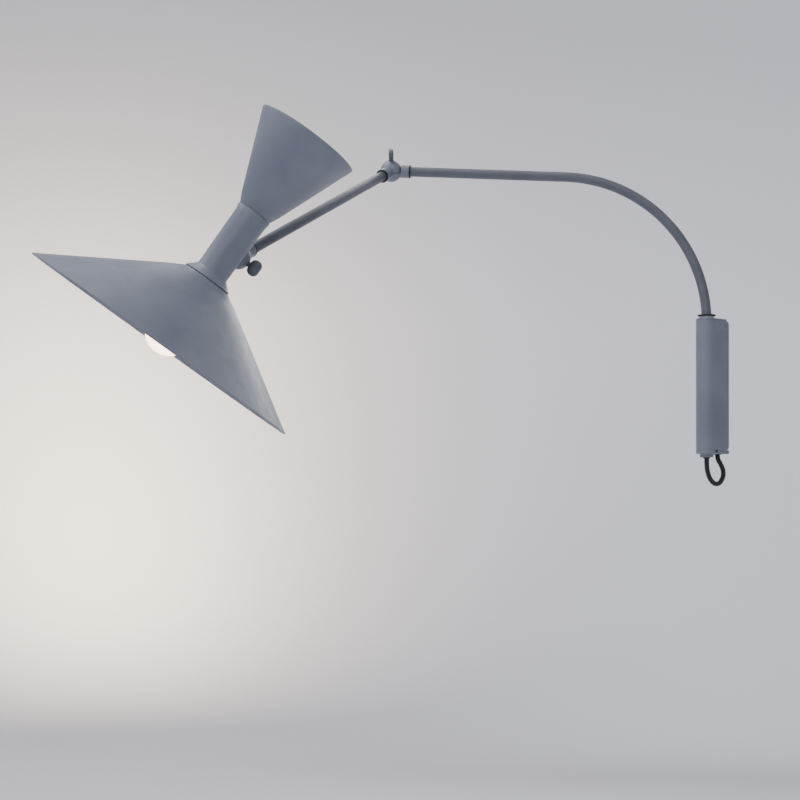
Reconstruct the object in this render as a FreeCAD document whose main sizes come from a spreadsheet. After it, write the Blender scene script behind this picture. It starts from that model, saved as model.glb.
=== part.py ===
import FreeCAD, Part
import Sketcher
import math
import os
import re
from FreeCAD import Placement, Rotation, Vector

# Articulating wall lamp. Millimetres and degrees, +Z up. The wall is the plane y = 0, the room lies
# towards -Y, and the origin is the middle of the bracket's back.

dimensions = [
    # bracket
    ("axis_to_wall", 24.0, "swivel axis to wall"),
    ("nose_radius", 11.5, "round front of the bracket cover, also its half width"),
    ("cover_wall", 1.8, "wall of the cover"),
    ("bracket_height", 144.0, "bracket over both caps"),
    ("top_cap_height", 2.0, "upper end cap"),
    ("bottom_cap_height", 4.0, "lower end cap"),
    ("corner_radius", 4.0, "rounded back corners of the cover, seen from the side"),
    ("cap_rounding", 1.2, "outer edge of the lower cap"),
    ("plate_thickness", 3.0, "wall plate"),
    ("plate_lift", 12.5, "wall plate above the foot of the bracket"),
    ("plate_side_gap", 0.2, "between plate and cover, each side"),
    ("wall_hole_spacing", 80.0, "wall screw holes, centre to centre"),
    ("wall_hole_lift", 42.0, "lower wall screw hole above the foot of the bracket"),
    ("wall_hole_diameter", 4.5, "wall screw holes"),
    ("tab_depth", 8.5, "side tabs of the wall plate"),
    ("tab_height", 9.0, "side tabs of the wall plate"),
    ("tab_thickness", 2.4, "side tabs of the wall plate"),
    ("side_screw_from_wall", 6.9, "grub screw that holds the cover"),
    ("side_screw_below_top", 9.2, "grub screw that holds the cover"),
    ("side_screw_diameter", 3.0, "grub screw that holds the cover"),
    ("side_screw_length", 3.6, "grub screw that holds the cover"),
    ("side_screw_recess", 0.3, "grub screw below the face of the cover"),
    ("socket_width", 1.5, "hexagon socket of the grub screw"),
    ("socket_depth", 1.6, "hexagon socket of the grub screw"),
    ("barrel_radius", 8.0, "bearing tube, outside"),
    ("bush_radius", 6.55, "bushes, outside"),
    ("bush_length", 22.0, "bushes, inside the barrel"),
    ("collar_diameter", 15.7, "flange of the upper bush"),
    ("collar_height", 2.6, "flange of the upper bush"),
    ("stop_ring_diameter", 19.4, "black ring on the main arm"),
    ("stop_ring_height", 1.6, "black ring on the main arm"),
    ("nut_washer_diameter", 15.0, "washer over the retaining nut"),
    ("nut_washer_height", 0.6, "washer over the retaining nut"),
    ("nut_width", 14.0, "retaining nut across flats"),
    ("nut_height", 3.0, "retaining nut"),
    ("nut_chamfer", 0.5, "lower edge of the retaining nut outside its flats"),
    ("gland_radius", 3.7, "cord gland under the nut"),
    ("gland_drop", 1.4, "cord gland under the nut"),
    ("gland_depth", 9.0, "cord gland inside the tube"),
    ("gland_taper", 0.4, "tip of the cord gland"),
    ("cord_radius", 2.6, "round flex"),
    ("cord_entry_from_axis", 18.8, "where the cord goes back in, behind the swivel axis"),
    ("grommet_radius", 3.6, "grommet in the lower cap"),
    ("grommet_lip", 0.5, "grommet below the lower cap"),
    ("grommet_flange", 0.7, "grommet beyond its hole"),
    ("cap_notch_front", 0.6, "side notches in the lower cap, behind the swivel axis"),
    ("cap_notch_rear", 4.0, "side notches in the lower cap, behind the swivel axis"),
    ("cap_notch_depth", 2.4, "side notches in the lower cap"),
    ("terminal_width", 14.0, "terminal block"),
    ("terminal_depth", 8.4, "terminal block"),
    ("terminal_length", 20.0, "terminal block"),
    ("terminal_lift", 12.0, "terminal block above the foot of the bracket"),
    ("wire_hole_radius", 1.4, "wire holes of the terminal block"),
    ("terminal_screw_radius", 1.5, "clamping screws of the terminal block"),
    ("terminal_screw_play", 0.2, "clamping screws in their wells"),
    # arms
    ("tube_radius", 5.3, "arm tubes, outside"),
    ("tube_bore", 4.2, "arm tubes, inside radius"),
    ("bend_start_drop", 3.9, "start of the bend below the top of the bracket"),
    ("bend_radius", 159.0, "main arm"),
    ("arm_rise", 3.4, "rise of the straight part of the main arm"),
    ("arm_straight", 190.5, "end of the bend to the elbow centre"),
    ("lower_arm_length", 366.0, "elbow centre to knuckle centre"),
    ("swivel_radius", 7.2, "black swivel washers"),
    ("swivel_height", 1.4, "black swivel washers"),
    ("spigot_radius", 4.1, "hollow spigots in the tube ends"),
    ("spigot_bore", 2.75, "hollow spigots, inside radius"),
    ("spigot_grip", 14.0, "spigot inside the tube"),
    ("spigot_reach", 13.6, "spigot end to ball centre"),
    # ball joints
    ("ball_radius", 11.8, "elbow and knuckle"),
    ("sleeve_radius", 6.9, "sleeves of the ball halves"),
    ("sleeve_gap", 1.6, "ball to the hollowed end of the other half's sleeve"),
    ("main_sleeve", 20.0, "ball centre to sleeve end, main arm side of the elbow"),
    ("lower_sleeve", 24.5, "ball centre to sleeve end, lower arm side of the elbow"),
    ("head_sleeve", 24.5, "ball centre to sleeve end, head knuckle"),
    ("halves_gap", 0.6, "between the two halves"),
    ("friction_height", 0.5, "friction washer between the halves"),
    ("friction_inset", 0.4, "friction washer inside the ball and outside the cable space"),
    ("cavity_radius", 8.2, "cable space in the ball"),
    ("cavity_depth", 5.5, "cable space in the ball, each half"),
    ("post_radius", 4.0, "screw post in the cable space"),
    ("stud_radius", 2.0, "stud of the thumb screw"),
    ("stud_length", 21.0, "stud of the thumb screw below its seat"),
    ("stud_grip", 6.0, "stud of the thumb screw inside the knob"),
    ("ball_flat", 11.2, "seat of the thumb screw above the ball centre"),
    ("neck_radius", 3.1, "thumb screw neck, foot"),
    ("neck_top", 2.5, "thumb screw neck, under and inside the blade"),
    ("neck_height", 1.9, "thumb screw neck"),
    ("neck_sink", 3.0, "thumb screw neck, inside the blade"),
    ("knob_width", 15.6, "blade of the thumb screw"),
    ("knob_height", 11.4, "blade of the thumb screw"),
    ("knob_corner", 5.2, "blade of the thumb screw, seen from its broad side"),
    ("knob_thickness", 5.4, "blade of the thumb screw"),
    ("knob_rounding", 2.0, "edge of the blade"),
    ("clamp_nut_width", 7.0, "captive nut across flats"),
    ("clamp_nut_height", 3.2, "captive nut"),
    ("clamp_nut_inset", 2.0, "captive nut inside the ball surface"),
    # head
    ("head_length", 231.0, "rim to rim"),
    ("big_rim_radius", 140.0, "wide shade"),
    ("big_top_radius", 24.4, "wide shade under the flange"),
    ("big_height", 72.7, "wide shade"),
    ("sheet", 1.0, "spun sheet of both shades"),
    ("bead_radius", 1.1, "rolled rims"),
    ("small_rim_radius", 50.0, "narrow shade"),
    ("small_base_radius", 16.6, "narrow shade"),
    ("flange_radius", 23.9, "lower edge of the body's flange"),
    ("flange_base", 73.3, "height of the flange edge over the wide rim"),
    ("flange_top", 81.0, "height where the flange meets the body"),
    ("body_low_radius", 15.5, "body above the flange"),
    ("body_high_radius", 16.2, "body under the collar"),
    ("collar_base", 140.4, "height of the collar's lower edge"),
    ("collar_top", 147.5, "height of the collar's upper edge"),
    ("collar_radius", 17.1, "collar, upper edge"),
    ("collar_bevel", 0.5, "bevel of the collar, inwards"),
    ("collar_bevel_height", 0.8, "bevel of the collar, downwards"),
    ("body_wall", 1.4, "wall of the body"),
    ("holder_radius", 13.0, "lampholders"),
    ("holder_length", 42.0, "lampholders"),
    ("holder_mouth_radius", 11.4, "lampholders, mouth"),
    ("holder_mouth_depth", 30.0, "lampholders, mouth"),
    ("holder_taper", 3.0, "lampholders, far end"),
    ("holder_taper_height", 6.0, "lampholders, far end"),
    ("holder_thread", 8.0, "nipple inside the lampholders"),
    ("floor_play", 0.3, "lampholders in the floors of the shades"),
    ("lower_holder_base", 40.7, "height of the lower lampholder's mouth"),
    ("upper_holder_top", 171.0, "height of the upper lampholder's mouth"),
    ("shade_ring_radius", 15.2, "threaded rings that hold the shades"),
    ("shade_ring_height", 4.0, "threaded rings that hold the shades"),
    ("nipple_radius", 5.0, "threaded tube between the lampholders"),
    ("nipple_bore", 3.5, "threaded tube, inside radius"),
    ("bridge_height", 2.0, "disc that carries the nipple"),
    ("bridge_base", 93.0, "height of that disc"),
    ("globe_radius", 22.5, "golf-ball lamps"),
    ("globe_neck_radius", 8.4, "golf-ball lamps, at the cap"),
    ("globe_neck", 32.0, "globe centre to cap"),
    ("globe_neck_straight", 4.0, "golf-ball lamps, straight end of the neck"),
    ("glass_wall", 1.0, "golf-ball lamps"),
    ("cap_radius", 7.0, "screw caps"),
    ("cap_length", 24.0, "screw caps"),
    ("cap_shoulder", 2.0, "screw caps, under the glass"),
    ("cap_tip_height", 4.0, "screw caps, insulator at the tip"),
    ("cap_tip_radius", 4.0, "screw caps, contact at the tip"),
    ("contact_height", 1.0, "screw caps, contact at the tip"),
    # knuckle on the head
    ("knuckle_height", 108.5, "knuckle centre over the wide rim"),
    ("knuckle_offset", 28.8, "knuckle centre to head axis"),
    ("knuckle_side", 3.7, "knuckle centre beside the head axis"),
    ("stub_height", 9.4, "stub from knuckle to body"),
    ("stub_width", 19.0, "stub along the head axis"),
    ("stub_lift", 0.3, "stub above the parting face"),
    ("stub_screw_spacing", 12.6, "stub screws"),
    ("stub_screw_radius", 1.3, "stub screws"),
    ("stub_screw_length", 8.0, "stub screws"),
    ("stub_screw_head_radius", 2.5, "stub screws"),
    ("stub_screw_head_height", 1.6, "stub screws"),
    ("stub_screw_spare", 1.0, "holes of the stub screws beyond their tips"),
    # clearances
    ("fit", 0.05, "fixed and running fits, on the radius"),
    ("bend_play", 0.4, "rings and bushes around the start of the bend"),
    ("face_gap", 0.1, "faces that turn on each other"),
    # pose
    ("arm_swing", -51.6, "main arm from the wall's normal, seen from above"),
    ("elbow_turn", -23.5, "elbow about the end of the main arm"),
    ("elbow_bend", 76.2, "lower arm from the line of the main arm"),
    ("head_turn", -119.0, "knuckle about the lower arm"),
    ("head_tilt", -32.1, "head from square to the lower arm"),
    ("elbow_knob_turn", 99.0, "blade of the elbow's thumb screw"),
    ("knuckle_knob_turn", 62.0, "blade of the knuckle's thumb screw"),
]

doc = FreeCAD.newDocument("wall_lamp")
sheet = doc.addObject("Spreadsheet::Sheet", "Size")
names = set()
for row, (name, value, note) in enumerate(dimensions, start=1):
    sheet.set("A%d" % row, note)
    sheet.set("B%d" % row, str(value))
    sheet.setAlias("B%d" % row, name)
    names.add(name)
doc.recompute()

pieces = []
touching = 0.01  # edges this near to a face or radius belong to it


def bound(text):
    # puts the sheet's name before each of its values in an expression
    return re.sub(r"[a-z_]\w*", lambda word: "Size." + word[0] if word[0] in names else word[0], text)


def mm(text):
    return float(sheet.evalExpression(bound(text)))


def move(x=0.0, y=0.0, z=0.0, turn=None):
    return Placement(Vector(x, y, z), turn or Rotation())


def turn_about(axis, degrees):
    return Placement(Vector(), Rotation(axis, degrees))


axis_x = Vector(1, 0, 0)
axis_y = Vector(0, 1, 0)
axis_z = Vector(0, 0, 1)

# ---- frames of the moving parts, each from the one before it

rise = math.radians(mm("arm_rise"))
bend_angle = 90 - mm("arm_rise")
bend_end_x = mm("bend_radius") * (1 - math.cos(math.radians(bend_angle)))
bend_end_z = mm("bend_radius") * math.sin(math.radians(bend_angle))
elbow_x = bend_end_x + mm("arm_straight") * math.cos(rise)
elbow_z = bend_end_z + mm("arm_straight") * math.sin(rise)

bracket_top = mm("bracket_height / 2")
bracket_axis = move(y=-mm("axis_to_wall"))
# main arm: origin at the start of the bend, X towards the elbow seen from above
arm = bracket_axis * move(z=bracket_top - mm("bend_start_drop")) * turn_about(axis_z, mm("arm_swing") - 90)
arm_end = arm * move(elbow_x, 0, elbow_z, Rotation(axis_y, -mm("arm_rise")))
# elbow: X along the main arm, Z along the thumb screw
elbow = arm_end * turn_about(axis_x, mm("elbow_turn"))
lower_arm = elbow * turn_about(axis_z, mm("elbow_bend"))
# knuckle: X along the lower arm, Z along the thumb screw
knuckle = lower_arm * move(x=mm("lower_arm_length")) * turn_about(axis_x, mm("head_turn"))
# pivot: X from the knuckle to the head's axis
pivot = knuckle * turn_about(axis_z, mm("head_tilt"))
# head: origin in the middle of the wide rim, Z towards the narrow shade, X towards the knuckle
head_axes = Rotation(-axis_x, -axis_z, -axis_y, "ZXY")
head = pivot * move(mm("knuckle_offset"), mm("knuckle_height"), -mm("knuckle_side"), head_axes)
upside_down = turn_about(axis_x, 180)
backwards = turn_about(axis_z, 180)
along_x = turn_about(axis_y, 90)

# ---- how a piece is made


def keep(piece, label, place):
    piece.Label = label
    piece.Placement = place
    pieces.append(piece)
    return piece


def new_body(label, place):
    body = doc.addObject("PartDesign::Body", label + "_body")
    return keep(body, label, place)


def draw(sketch, loops):
    # A loop is ("circle", x, y, radius) or a list of corners (x, y). A corner (x, y, cx, cy, side) starts
    # an arc about cx, cy that runs anticlockwise (side 1) or clockwise (side -1).
    for loop in loops:
        if loop[0] == "circle":
            draw_circle(sketch, *loop[1:])
        else:
            draw_corners(sketch, loop)


def dimension(sketch, kind, edge, point, text):
    index = sketch.addConstraint(Sketcher.Constraint(kind, -1, 1, edge, point, mm(text)))
    sketch.setExpression("Constraints[%d]" % index, bound(text))


def draw_circle(sketch, x, y, radius):
    circle = Part.Circle(Vector(mm(x), mm(y), 0), axis_z, mm(radius))
    edge = sketch.addGeometry(circle)
    dimension(sketch, "DistanceX", edge, 3, x)
    dimension(sketch, "DistanceY", edge, 3, y)
    index = sketch.addConstraint(Sketcher.Constraint("Radius", edge, mm(radius)))
    sketch.setExpression("Constraints[%d]" % index, bound(radius))


def draw_corners(sketch, corners):
    count = len(corners)
    edges = []
    for corner, following in zip(corners, corners[1:] + corners[:1]):
        start = Vector(mm(corner[0]), mm(corner[1]), 0)
        end = Vector(mm(following[0]), mm(following[1]), 0)
        if len(corner) == 2:
            edge = sketch.addGeometry(Part.LineSegment(start, end))
            edges.append((edge, 1, 2))
            continue
        centre = Vector(mm(corner[2]), mm(corner[3]), 0)
        first, last = (start, end) if corner[4] > 0 else (end, start)
        angle = [math.atan2((point - centre).y, (point - centre).x) for point in (first, last)]
        if angle[1] <= angle[0]:
            angle[1] += 2 * math.pi
        circle = Part.Circle(centre, axis_z, (start - centre).Length)
        edge = sketch.addGeometry(Part.ArcOfCircle(circle, angle[0], angle[1]))
        edges.append((edge, 1, 2) if corner[4] > 0 else (edge, 2, 1))
    for here in range(count):
        edge, start, end = edges[here]
        following = edges[(here + 1) % count]
        sketch.addConstraint(Sketcher.Constraint("Coincident", edge, end, following[0], following[1]))
        corner = corners[here]
        before = corners[here - 1]
        after_arc = len(before) > 2
        flat = after_arc and abs(mm(corner[0]) - mm(before[2])) > abs(mm(corner[1]) - mm(before[3]))
        if not after_arc or not flat:
            dimension(sketch, "DistanceX", edge, start, corner[0])
        if not after_arc or flat:
            dimension(sketch, "DistanceY", edge, start, corner[1])
        if len(corner) > 2:
            dimension(sketch, "DistanceX", edge, 3, corner[2])
            dimension(sketch, "DistanceY", edge, 3, corner[3])


def sketch_on(body, role, loops, offset="0"):
    sketch = body.newObject("Sketcher::SketchObject", "Sketch")
    plane = [feature for feature in body.Origin.OriginFeatures if feature.Role == role][0]
    sketch.AttachmentSupport = [(plane, "")]
    sketch.MapMode = "FlatFace"
    sketch.AttachmentOffset = move(z=mm(offset))
    sketch.setExpression("AttachmentOffset.Base.z", bound(offset))
    draw(sketch, loops)
    return sketch


def pad(body, role, loops, start, length):
    feature = body.newObject("PartDesign::Pad", "Pad")
    feature.Profile = sketch_on(body, role, loops, start)
    feature.setExpression("Length", bound(length))
    return feature


def pocket(body, role, loops, start, length):
    # takes away the stretch from start to start + length, measured along the plane's normal
    feature = body.newObject("PartDesign::Pocket", "Pocket")
    feature.Profile = sketch_on(body, role, loops, "%s + %s" % (start, length))
    feature.setExpression("Length", bound(length))
    return feature


def revolve(body, loop):
    # a full turn of a loop of (radius, height)
    sketch = sketch_on(body, "XZ_Plane", [loop])
    feature = body.newObject("PartDesign::Revolution", "Revolution")
    feature.Profile = sketch
    feature.ReferenceAxis = (sketch, ["V_Axis"])
    feature.Angle = 360


def turned(label, place, loop):
    body = new_body(label, place)
    revolve(body, loop)
    return body


def ring(label, place, inner, outer, low, high):
    return turned(label, place, [(inner, low), (outer, low), (outer, high), (inner, high)])


def primitive(kind, place, **sizes):
    solid = doc.addObject("Part::" + kind, kind)
    for name, text in sizes.items():
        solid.setExpression(name, bound(text))
    solid.Placement = place
    return solid


def joined(kind, shapes):
    result = doc.addObject("Part::" + kind, kind)
    result.Shapes = shapes
    return result


def group(label, solids, place):
    result = doc.addObject("Part::Compound", "Group")
    result.Links = solids
    return keep(result, label, place)


def cut(base, tools):
    result = doc.addObject("Part::Cut", "Cut")
    result.Base = base
    result.Tool = tools[0] if len(tools) == 1 else joined("MultiFuse", tools)
    return result


def fillet(body, base, radius, wanted):
    doc.recompute()
    edges = ["Edge%d" % number for number, edge in enumerate(base.Shape.Edges, start=1) if wanted(edge)]
    feature = body.newObject("PartDesign::Fillet", "Fillet")
    feature.Base = (base, edges)
    feature.setExpression("Radius", bound(radius))
    return feature


def hexagon(place, width, height):
    return primitive("Prism", place, Circumradius="%s / sqrt(3)" % width, Height=height)


# ---- bracket

nose = "nose_radius"
back = "axis_to_wall"
bracket_low = bracket_axis * move(z=-bracket_top)


def bracket_outline(half_width, rear):
    # round nose towards the room, straight sides, square back; Y from the swivel axis
    return [
        ("-(%s)" % half_width, "0", "0", "0", 1),
        (half_width, "0"),
        (half_width, rear),
        ("-(%s)" % half_width, rear),
    ]


def make_wall_plate():
    body = new_body("wall_plate", move())
    half = "(nose_radius - cover_wall - plate_side_gap)"
    tab_top = "bracket_height / 2 - side_screw_below_top + tab_height / 2"
    tab_low = "bracket_height / 2 - side_screw_below_top - tab_height / 2"
    low = "plate_lift - bracket_height / 2"
    plate = [("-" + half, low), (half, low), (half, tab_top), ("-" + half, tab_top)]
    pad(body, "XZ_Plane", [plate], "0", "plate_thickness")
    holes = [
        ("circle", "0", "wall_hole_lift - bracket_height / 2", "wall_hole_diameter / 2"),
        ("circle", "0", "wall_hole_lift + wall_hole_spacing - bracket_height / 2", "wall_hole_diameter / 2"),
    ]
    pocket(body, "XZ_Plane", holes, "0", "plate_thickness")
    for side in ("-", ""):
        outer = side + half
        inner = "%s(nose_radius - cover_wall - plate_side_gap - tab_thickness)" % side
        tab = [(outer, tab_low), (inner, tab_low), (inner, tab_top), (outer, tab_top)]
        pad(body, "XZ_Plane", [tab], "0", "tab_depth + plate_thickness / 2")
    screw = ("circle", "-side_screw_from_wall", "bracket_height / 2 - side_screw_below_top")
    pocket(body, "YZ_Plane", [screw + ("side_screw_diameter / 2 + fit",)], "-nose_radius", "2 * nose_radius")


def make_bracket_shell():
    body = new_body("bracket_shell", bracket_low)
    inner = "(nose_radius - cover_wall)"
    outline = [
        ("-nose_radius", "0", "0", "0", 1),
        ("nose_radius", "0"),
        ("nose_radius", back),
        (inner, back),
        (inner, "0", "0", "0", -1),
        ("-" + inner, "0"),
        ("-" + inner, back),
        ("-nose_radius", back),
    ]
    height = "bracket_height - top_cap_height - bottom_cap_height"
    wall = pad(body, "XY_Plane", [outline], "bottom_cap_height", height)
    rear = mm(back)

    def back_corner(edge):
        middle = edge.BoundBox.Center
        return abs(middle.y - rear) < touching and edge.BoundBox.ZLength < touching

    fillet(body, wall, "corner_radius", back_corner)
    screw = ("circle", "axis_to_wall - side_screw_from_wall", "bracket_height - side_screw_below_top")
    hole = screw + ("side_screw_diameter / 2 + fit",)
    pocket(body, "YZ_Plane", [hole], "-nose_radius - cover_wall", "2 * (nose_radius + cover_wall)")


def make_caps():
    rear = "axis_to_wall - corner_radius"
    top = new_body("top_cap", bracket_low)
    hole = ("circle", "0", "0", "bush_radius + fit")
    level = "bracket_height - top_cap_height"
    pad(top, "XY_Plane", [bracket_outline(nose, rear), hole], level, "top_cap_height")

    bottom = new_body("bottom_cap", bracket_low)
    hole = ("circle", "0", "0", "tube_radius + bend_play")
    entry = ("circle", "0", "cord_entry_from_axis", "grommet_radius + fit")
    plate = pad(bottom, "XY_Plane", [bracket_outline(nose, back)], "0", "bottom_cap_height")

    def outer_edge(edge):
        return edge.BoundBox.ZMax < touching

    fillet(bottom, plate, "cap_rounding", outer_edge)
    pocket(bottom, "XY_Plane", [hole, entry], "0", "bottom_cap_height")
    for side in (1, -1):
        outer = "%d * 1.1 * nose_radius" % side
        inner = "%d * (nose_radius - cap_notch_depth)" % side
        front, rear = "cap_notch_front", "cap_notch_rear"
        notch = [(outer, front), (inner, front), (inner, rear), (outer, rear)]
        pocket(bottom, "XY_Plane", [notch], "bottom_cap_height / 3", "bottom_cap_height * 2 / 3")


def make_bearing():
    low = "bottom_cap_height"
    high = "(bracket_height - top_cap_height)"
    ring("swivel_barrel", bracket_low, "bush_radius + fit", "barrel_radius", low, high)
    bore = "tube_radius + fit"
    wide = "tube_radius + bend_play"
    bend = "bracket_height - bend_start_drop"
    top = "bracket_height + collar_height"
    profile = [
        (bore, high + " - bush_length"),
        ("bush_radius", high + " - bush_length"),
        ("bush_radius", "bracket_height"),
        ("collar_diameter / 2", "bracket_height"),
        ("collar_diameter / 2", top),
        (wide, top),
        (wide, bend),
        (bore, bend),
    ]
    turned("upper_bush", bracket_low, profile)
    ring("lower_bush", bracket_low, bore, "bush_radius", low, low + " + bush_length")


def make_side_screws():
    place = move(y=-mm("side_screw_from_wall"), z=bracket_top - mm("side_screw_below_top"))
    screws = []
    for side in (0, 180):
        start = mm("nose_radius - side_screw_length - side_screw_recess")
        along = place * turn_about(axis_z, side) * move(x=start) * along_x
        screw = primitive("Cylinder", along, Radius="side_screw_diameter / 2", Height="side_screw_length")
        bottom = along * move(z=mm("side_screw_length - socket_depth"))
        socket = hexagon(bottom, "socket_width", "side_screw_length")
        screws.append(cut(screw, [socket]))
    group("side_screws", screws, move())


def make_terminal():
    body = new_body("terminal_block", move())
    half = "terminal_width / 2"
    front = "-plate_thickness - terminal_depth"
    block = [("-" + half, "-plate_thickness"), ("-" + half, front), (half, front), (half, "-plate_thickness")]
    base = "(terminal_lift - bracket_height / 2)"
    pad(body, "XY_Plane", [block], base, "terminal_length")
    wires = []
    screws = []
    for x in ("-terminal_width / 4", "terminal_width / 4"):
        wires.append(("circle", x, "-plate_thickness - terminal_depth / 3", "wire_hole_radius"))
        for level in ("0.25", "0.75"):
            height = "%s + %s * terminal_length" % (base, level)
            screws.append(("circle", x, height, "terminal_screw_radius + terminal_screw_play"))
    pocket(body, "XY_Plane", wires, base, "terminal_length")
    pocket(body, "XZ_Plane", screws, "plate_thickness + terminal_depth / 2", "terminal_depth / 2")
    heads = []
    for circle in screws:
        foot = Vector(mm(circle[1]), -mm("plate_thickness + terminal_depth / 2"), mm(circle[2]))
        place = Placement(foot, Rotation(axis_x, 90))
        heads.append(primitive("Cylinder", place, Radius="terminal_screw_radius", Height="terminal_depth / 3"))
    group("terminal_screws", heads, move())


def make_cord_exit():
    low = "-(grommet_lip)"
    profile = [
        ("cord_radius + fit", low),
        ("grommet_radius + grommet_flange", low),
        ("grommet_radius + grommet_flange", "-fit"),
        ("grommet_radius", "-fit"),
        ("grommet_radius", "bottom_cap_height"),
        ("cord_radius + fit", "bottom_cap_height"),
    ]
    turned("cord_grommet", bracket_low * move(y=mm("cord_entry_from_axis")), profile)


# the free loop, from the gland to the grommet, seen from the swivel axis at the foot of the bracket
cord_route = [
    (0.0, 0.0, -5.1),
    (0.0, 0.0, -13.2),
    (0.5, 1.2, -20.2),
    (1.6, 4.4, -27.6),
    (3.2, 10.4, -32.4),
    (5.2, 16.6, -31.0),
    (6.6, 20.5, -23.8),
    (6.2, 20.8, -16.8),
    (3.0, 20.2, -10.0),
    (0.0, 18.8, -5.0),
    (0.0, 18.8, 0.0),
]


def rounded_path(points):
    # straight runs joined by tangent arcs, each as large as its two runs allow with a short straight left
    share = 0.45
    edges = []
    start = points[0]
    for before, corner, after in zip(points, points[1:], points[2:]):
        towards = (before - corner).normalize()
        away = (after - corner).normalize()
        half_turn = (math.pi - towards.getAngle(away)) / 2
        trim = share * min((corner - before).Length, (after - corner).Length)
        radius = trim / math.tan(half_turn)
        bisector = (towards + away).normalize()
        middle = corner + bisector * (radius / math.cos(half_turn) - radius)
        first = corner + towards * trim
        last = corner + away * trim
        print("cord bend radius %.1f mm, turn %.0f degrees" % (radius, math.degrees(2 * half_turn)))
        edges.append(Part.LineSegment(start, first).toShape())
        edges.append(Part.Arc(first, middle, last).toShape())
        start = last
    edges.append(Part.LineSegment(start, points[-1]).toShape())
    return Part.Wire(edges)


def make_cord():
    radius = mm("cord_radius")
    points = [Vector(x, y, z) for x, y, z in cord_route]
    points[0].z = -mm("nut_washer_height + face_gap + nut_height + gland_drop")
    points[-1].y = mm("cord_entry_from_axis")
    points[-2].y = points[-1].y
    path = rounded_path(points)
    start = path.Edges[0]
    circle = Part.Circle(points[0], start.tangentAt(start.FirstParameter), radius)
    tube = path.makePipeShell([Part.Wire(circle.toShape())], True, False)
    expected = math.pi * radius**2 * path.Length
    ratio = tube.Volume / expected
    print("supply cord %.1f mm long, volume %.4f of its section times length" % (path.Length, ratio))
    loop = doc.addObject("Part::Feature", "Loop")
    loop.Shape = tube
    keep(loop, "supply_cord", bracket_low)
    tail = primitive("Cylinder", move(), Radius="cord_radius", Height="terminal_lift")
    keep(tail, "cord_tail", bracket_low * move(y=mm("cord_entry_from_axis")))


# ---- main arm; its frame starts where the bend starts

tube_foot = "(bracket_height - bend_start_drop + nut_washer_height + face_gap + nut_height)"


def arm_path(body, low, cut_back):
    # up through the bracket, round the bend and out to the elbow
    sketch = body.newObject("Sketcher::SketchObject", "Path")
    plane = [feature for feature in body.Origin.OriginFeatures if feature.Role == "XZ_Plane"][0]
    sketch.AttachmentSupport = [(plane, "")]
    sketch.MapMode = "FlatFace"
    angle = math.radians(bend_angle)
    radius = mm("bend_radius")
    foot = Vector(0, -mm(low), 0)
    centre = Vector(radius, 0, 0)
    bend_end = Vector(bend_end_x, bend_end_z, 0)
    length = mm("arm_straight - (%s)" % cut_back)
    end = bend_end + Vector(math.cos(rise), math.sin(rise), 0) * length
    post = sketch.addGeometry(Part.LineSegment(foot, Vector(0, 0, 0)))
    circle = Part.Circle(centre, axis_z, radius)
    bend = sketch.addGeometry(Part.ArcOfCircle(circle, math.pi - angle, math.pi))
    straight = sketch.addGeometry(Part.LineSegment(bend_end, end))
    sketch.addConstraint(Sketcher.Constraint("Coincident", post, 2, -1, 1))
    sketch.addConstraint(Sketcher.Constraint("Vertical", post))
    dimension(sketch, "DistanceY", post, 1, "-" + low)
    sketch.addConstraint(Sketcher.Constraint("Coincident", bend, 2, post, 2))
    dimension(sketch, "DistanceX", bend, 3, "bend_radius")
    dimension(sketch, "DistanceY", bend, 3, "0")
    sketch.addConstraint(Sketcher.Constraint("Tangent", straight, 1, bend, 1))
    reach = sketch.addConstraint(Sketcher.Constraint("Distance", straight, length))
    sketch.setExpression("Constraints[%d]" % reach, bound("arm_straight - (%s)" % cut_back))
    slope = sketch.addConstraint(Sketcher.Constraint("Angle", -1, 1, straight, 1, rise))
    sketch.setExpression("Constraints[%d]" % slope, bound("arm_rise * 1 deg"))
    return sketch


def swept(label, circles, low, cut_back):
    body = new_body(label, arm)
    path = arm_path(body, low, cut_back)
    loops = [("circle", "0", "0", radius) for radius in circles]
    section = sketch_on(body, "XY_Plane", loops, "-" + low)
    pipe = body.newObject("PartDesign::AdditivePipe", "Pipe")
    pipe.Profile = section
    pipe.Spine = path
    return body


def make_main_arm():
    tube_end = "main_sleeve + face_gap + swivel_height"
    swept("main_arm_tube", ["tube_radius", "tube_bore"], tube_foot, tube_end)
    swept("main_arm_cable", ["cord_radius"], "(%s + gland_drop)" % tube_foot, "spigot_reach")

    top = "bracket_height + collar_height + face_gap"
    stop = top + " + stop_ring_height"
    ring("arm_stop_ring", arm_low, "tube_radius + bend_play", "stop_ring_diameter / 2", top, stop)
    washer_low = "-face_gap - nut_washer_height"
    ring("nut_washer", arm_low, "tube_radius + fit", "nut_washer_diameter / 2", washer_low, "-face_gap")

    place = arm_low * move(z=-mm("face_gap + nut_washer_height + nut_height"))
    blank = hexagon(move(), "nut_width", "nut_height")
    bore = primitive("Cylinder", move(), Radius="tube_radius + fit", Height="nut_height")
    edge = "nut_width / 2 + nut_chamfer"
    corner = primitive("Cone", move(), Radius1=edge, Radius2=edge + " + nut_height / 2", Height="nut_height")
    keep(cut(joined("MultiCommon", [blank, corner]), [bore]), "retaining_nut", place)

    profile = [
        ("cord_radius + fit", "-gland_drop"),
        ("gland_radius - gland_taper", "-gland_drop"),
        ("gland_radius", "-gland_drop / 2"),
        ("gland_radius", "0"),
        ("tube_bore - fit", "0"),
        ("tube_bore - fit", "gland_depth"),
        ("cord_radius + fit", "gland_depth"),
    ]
    turned("cord_gland", place, profile)
    end_fittings("main_arm", arm_end * backwards, "main_sleeve")


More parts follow.
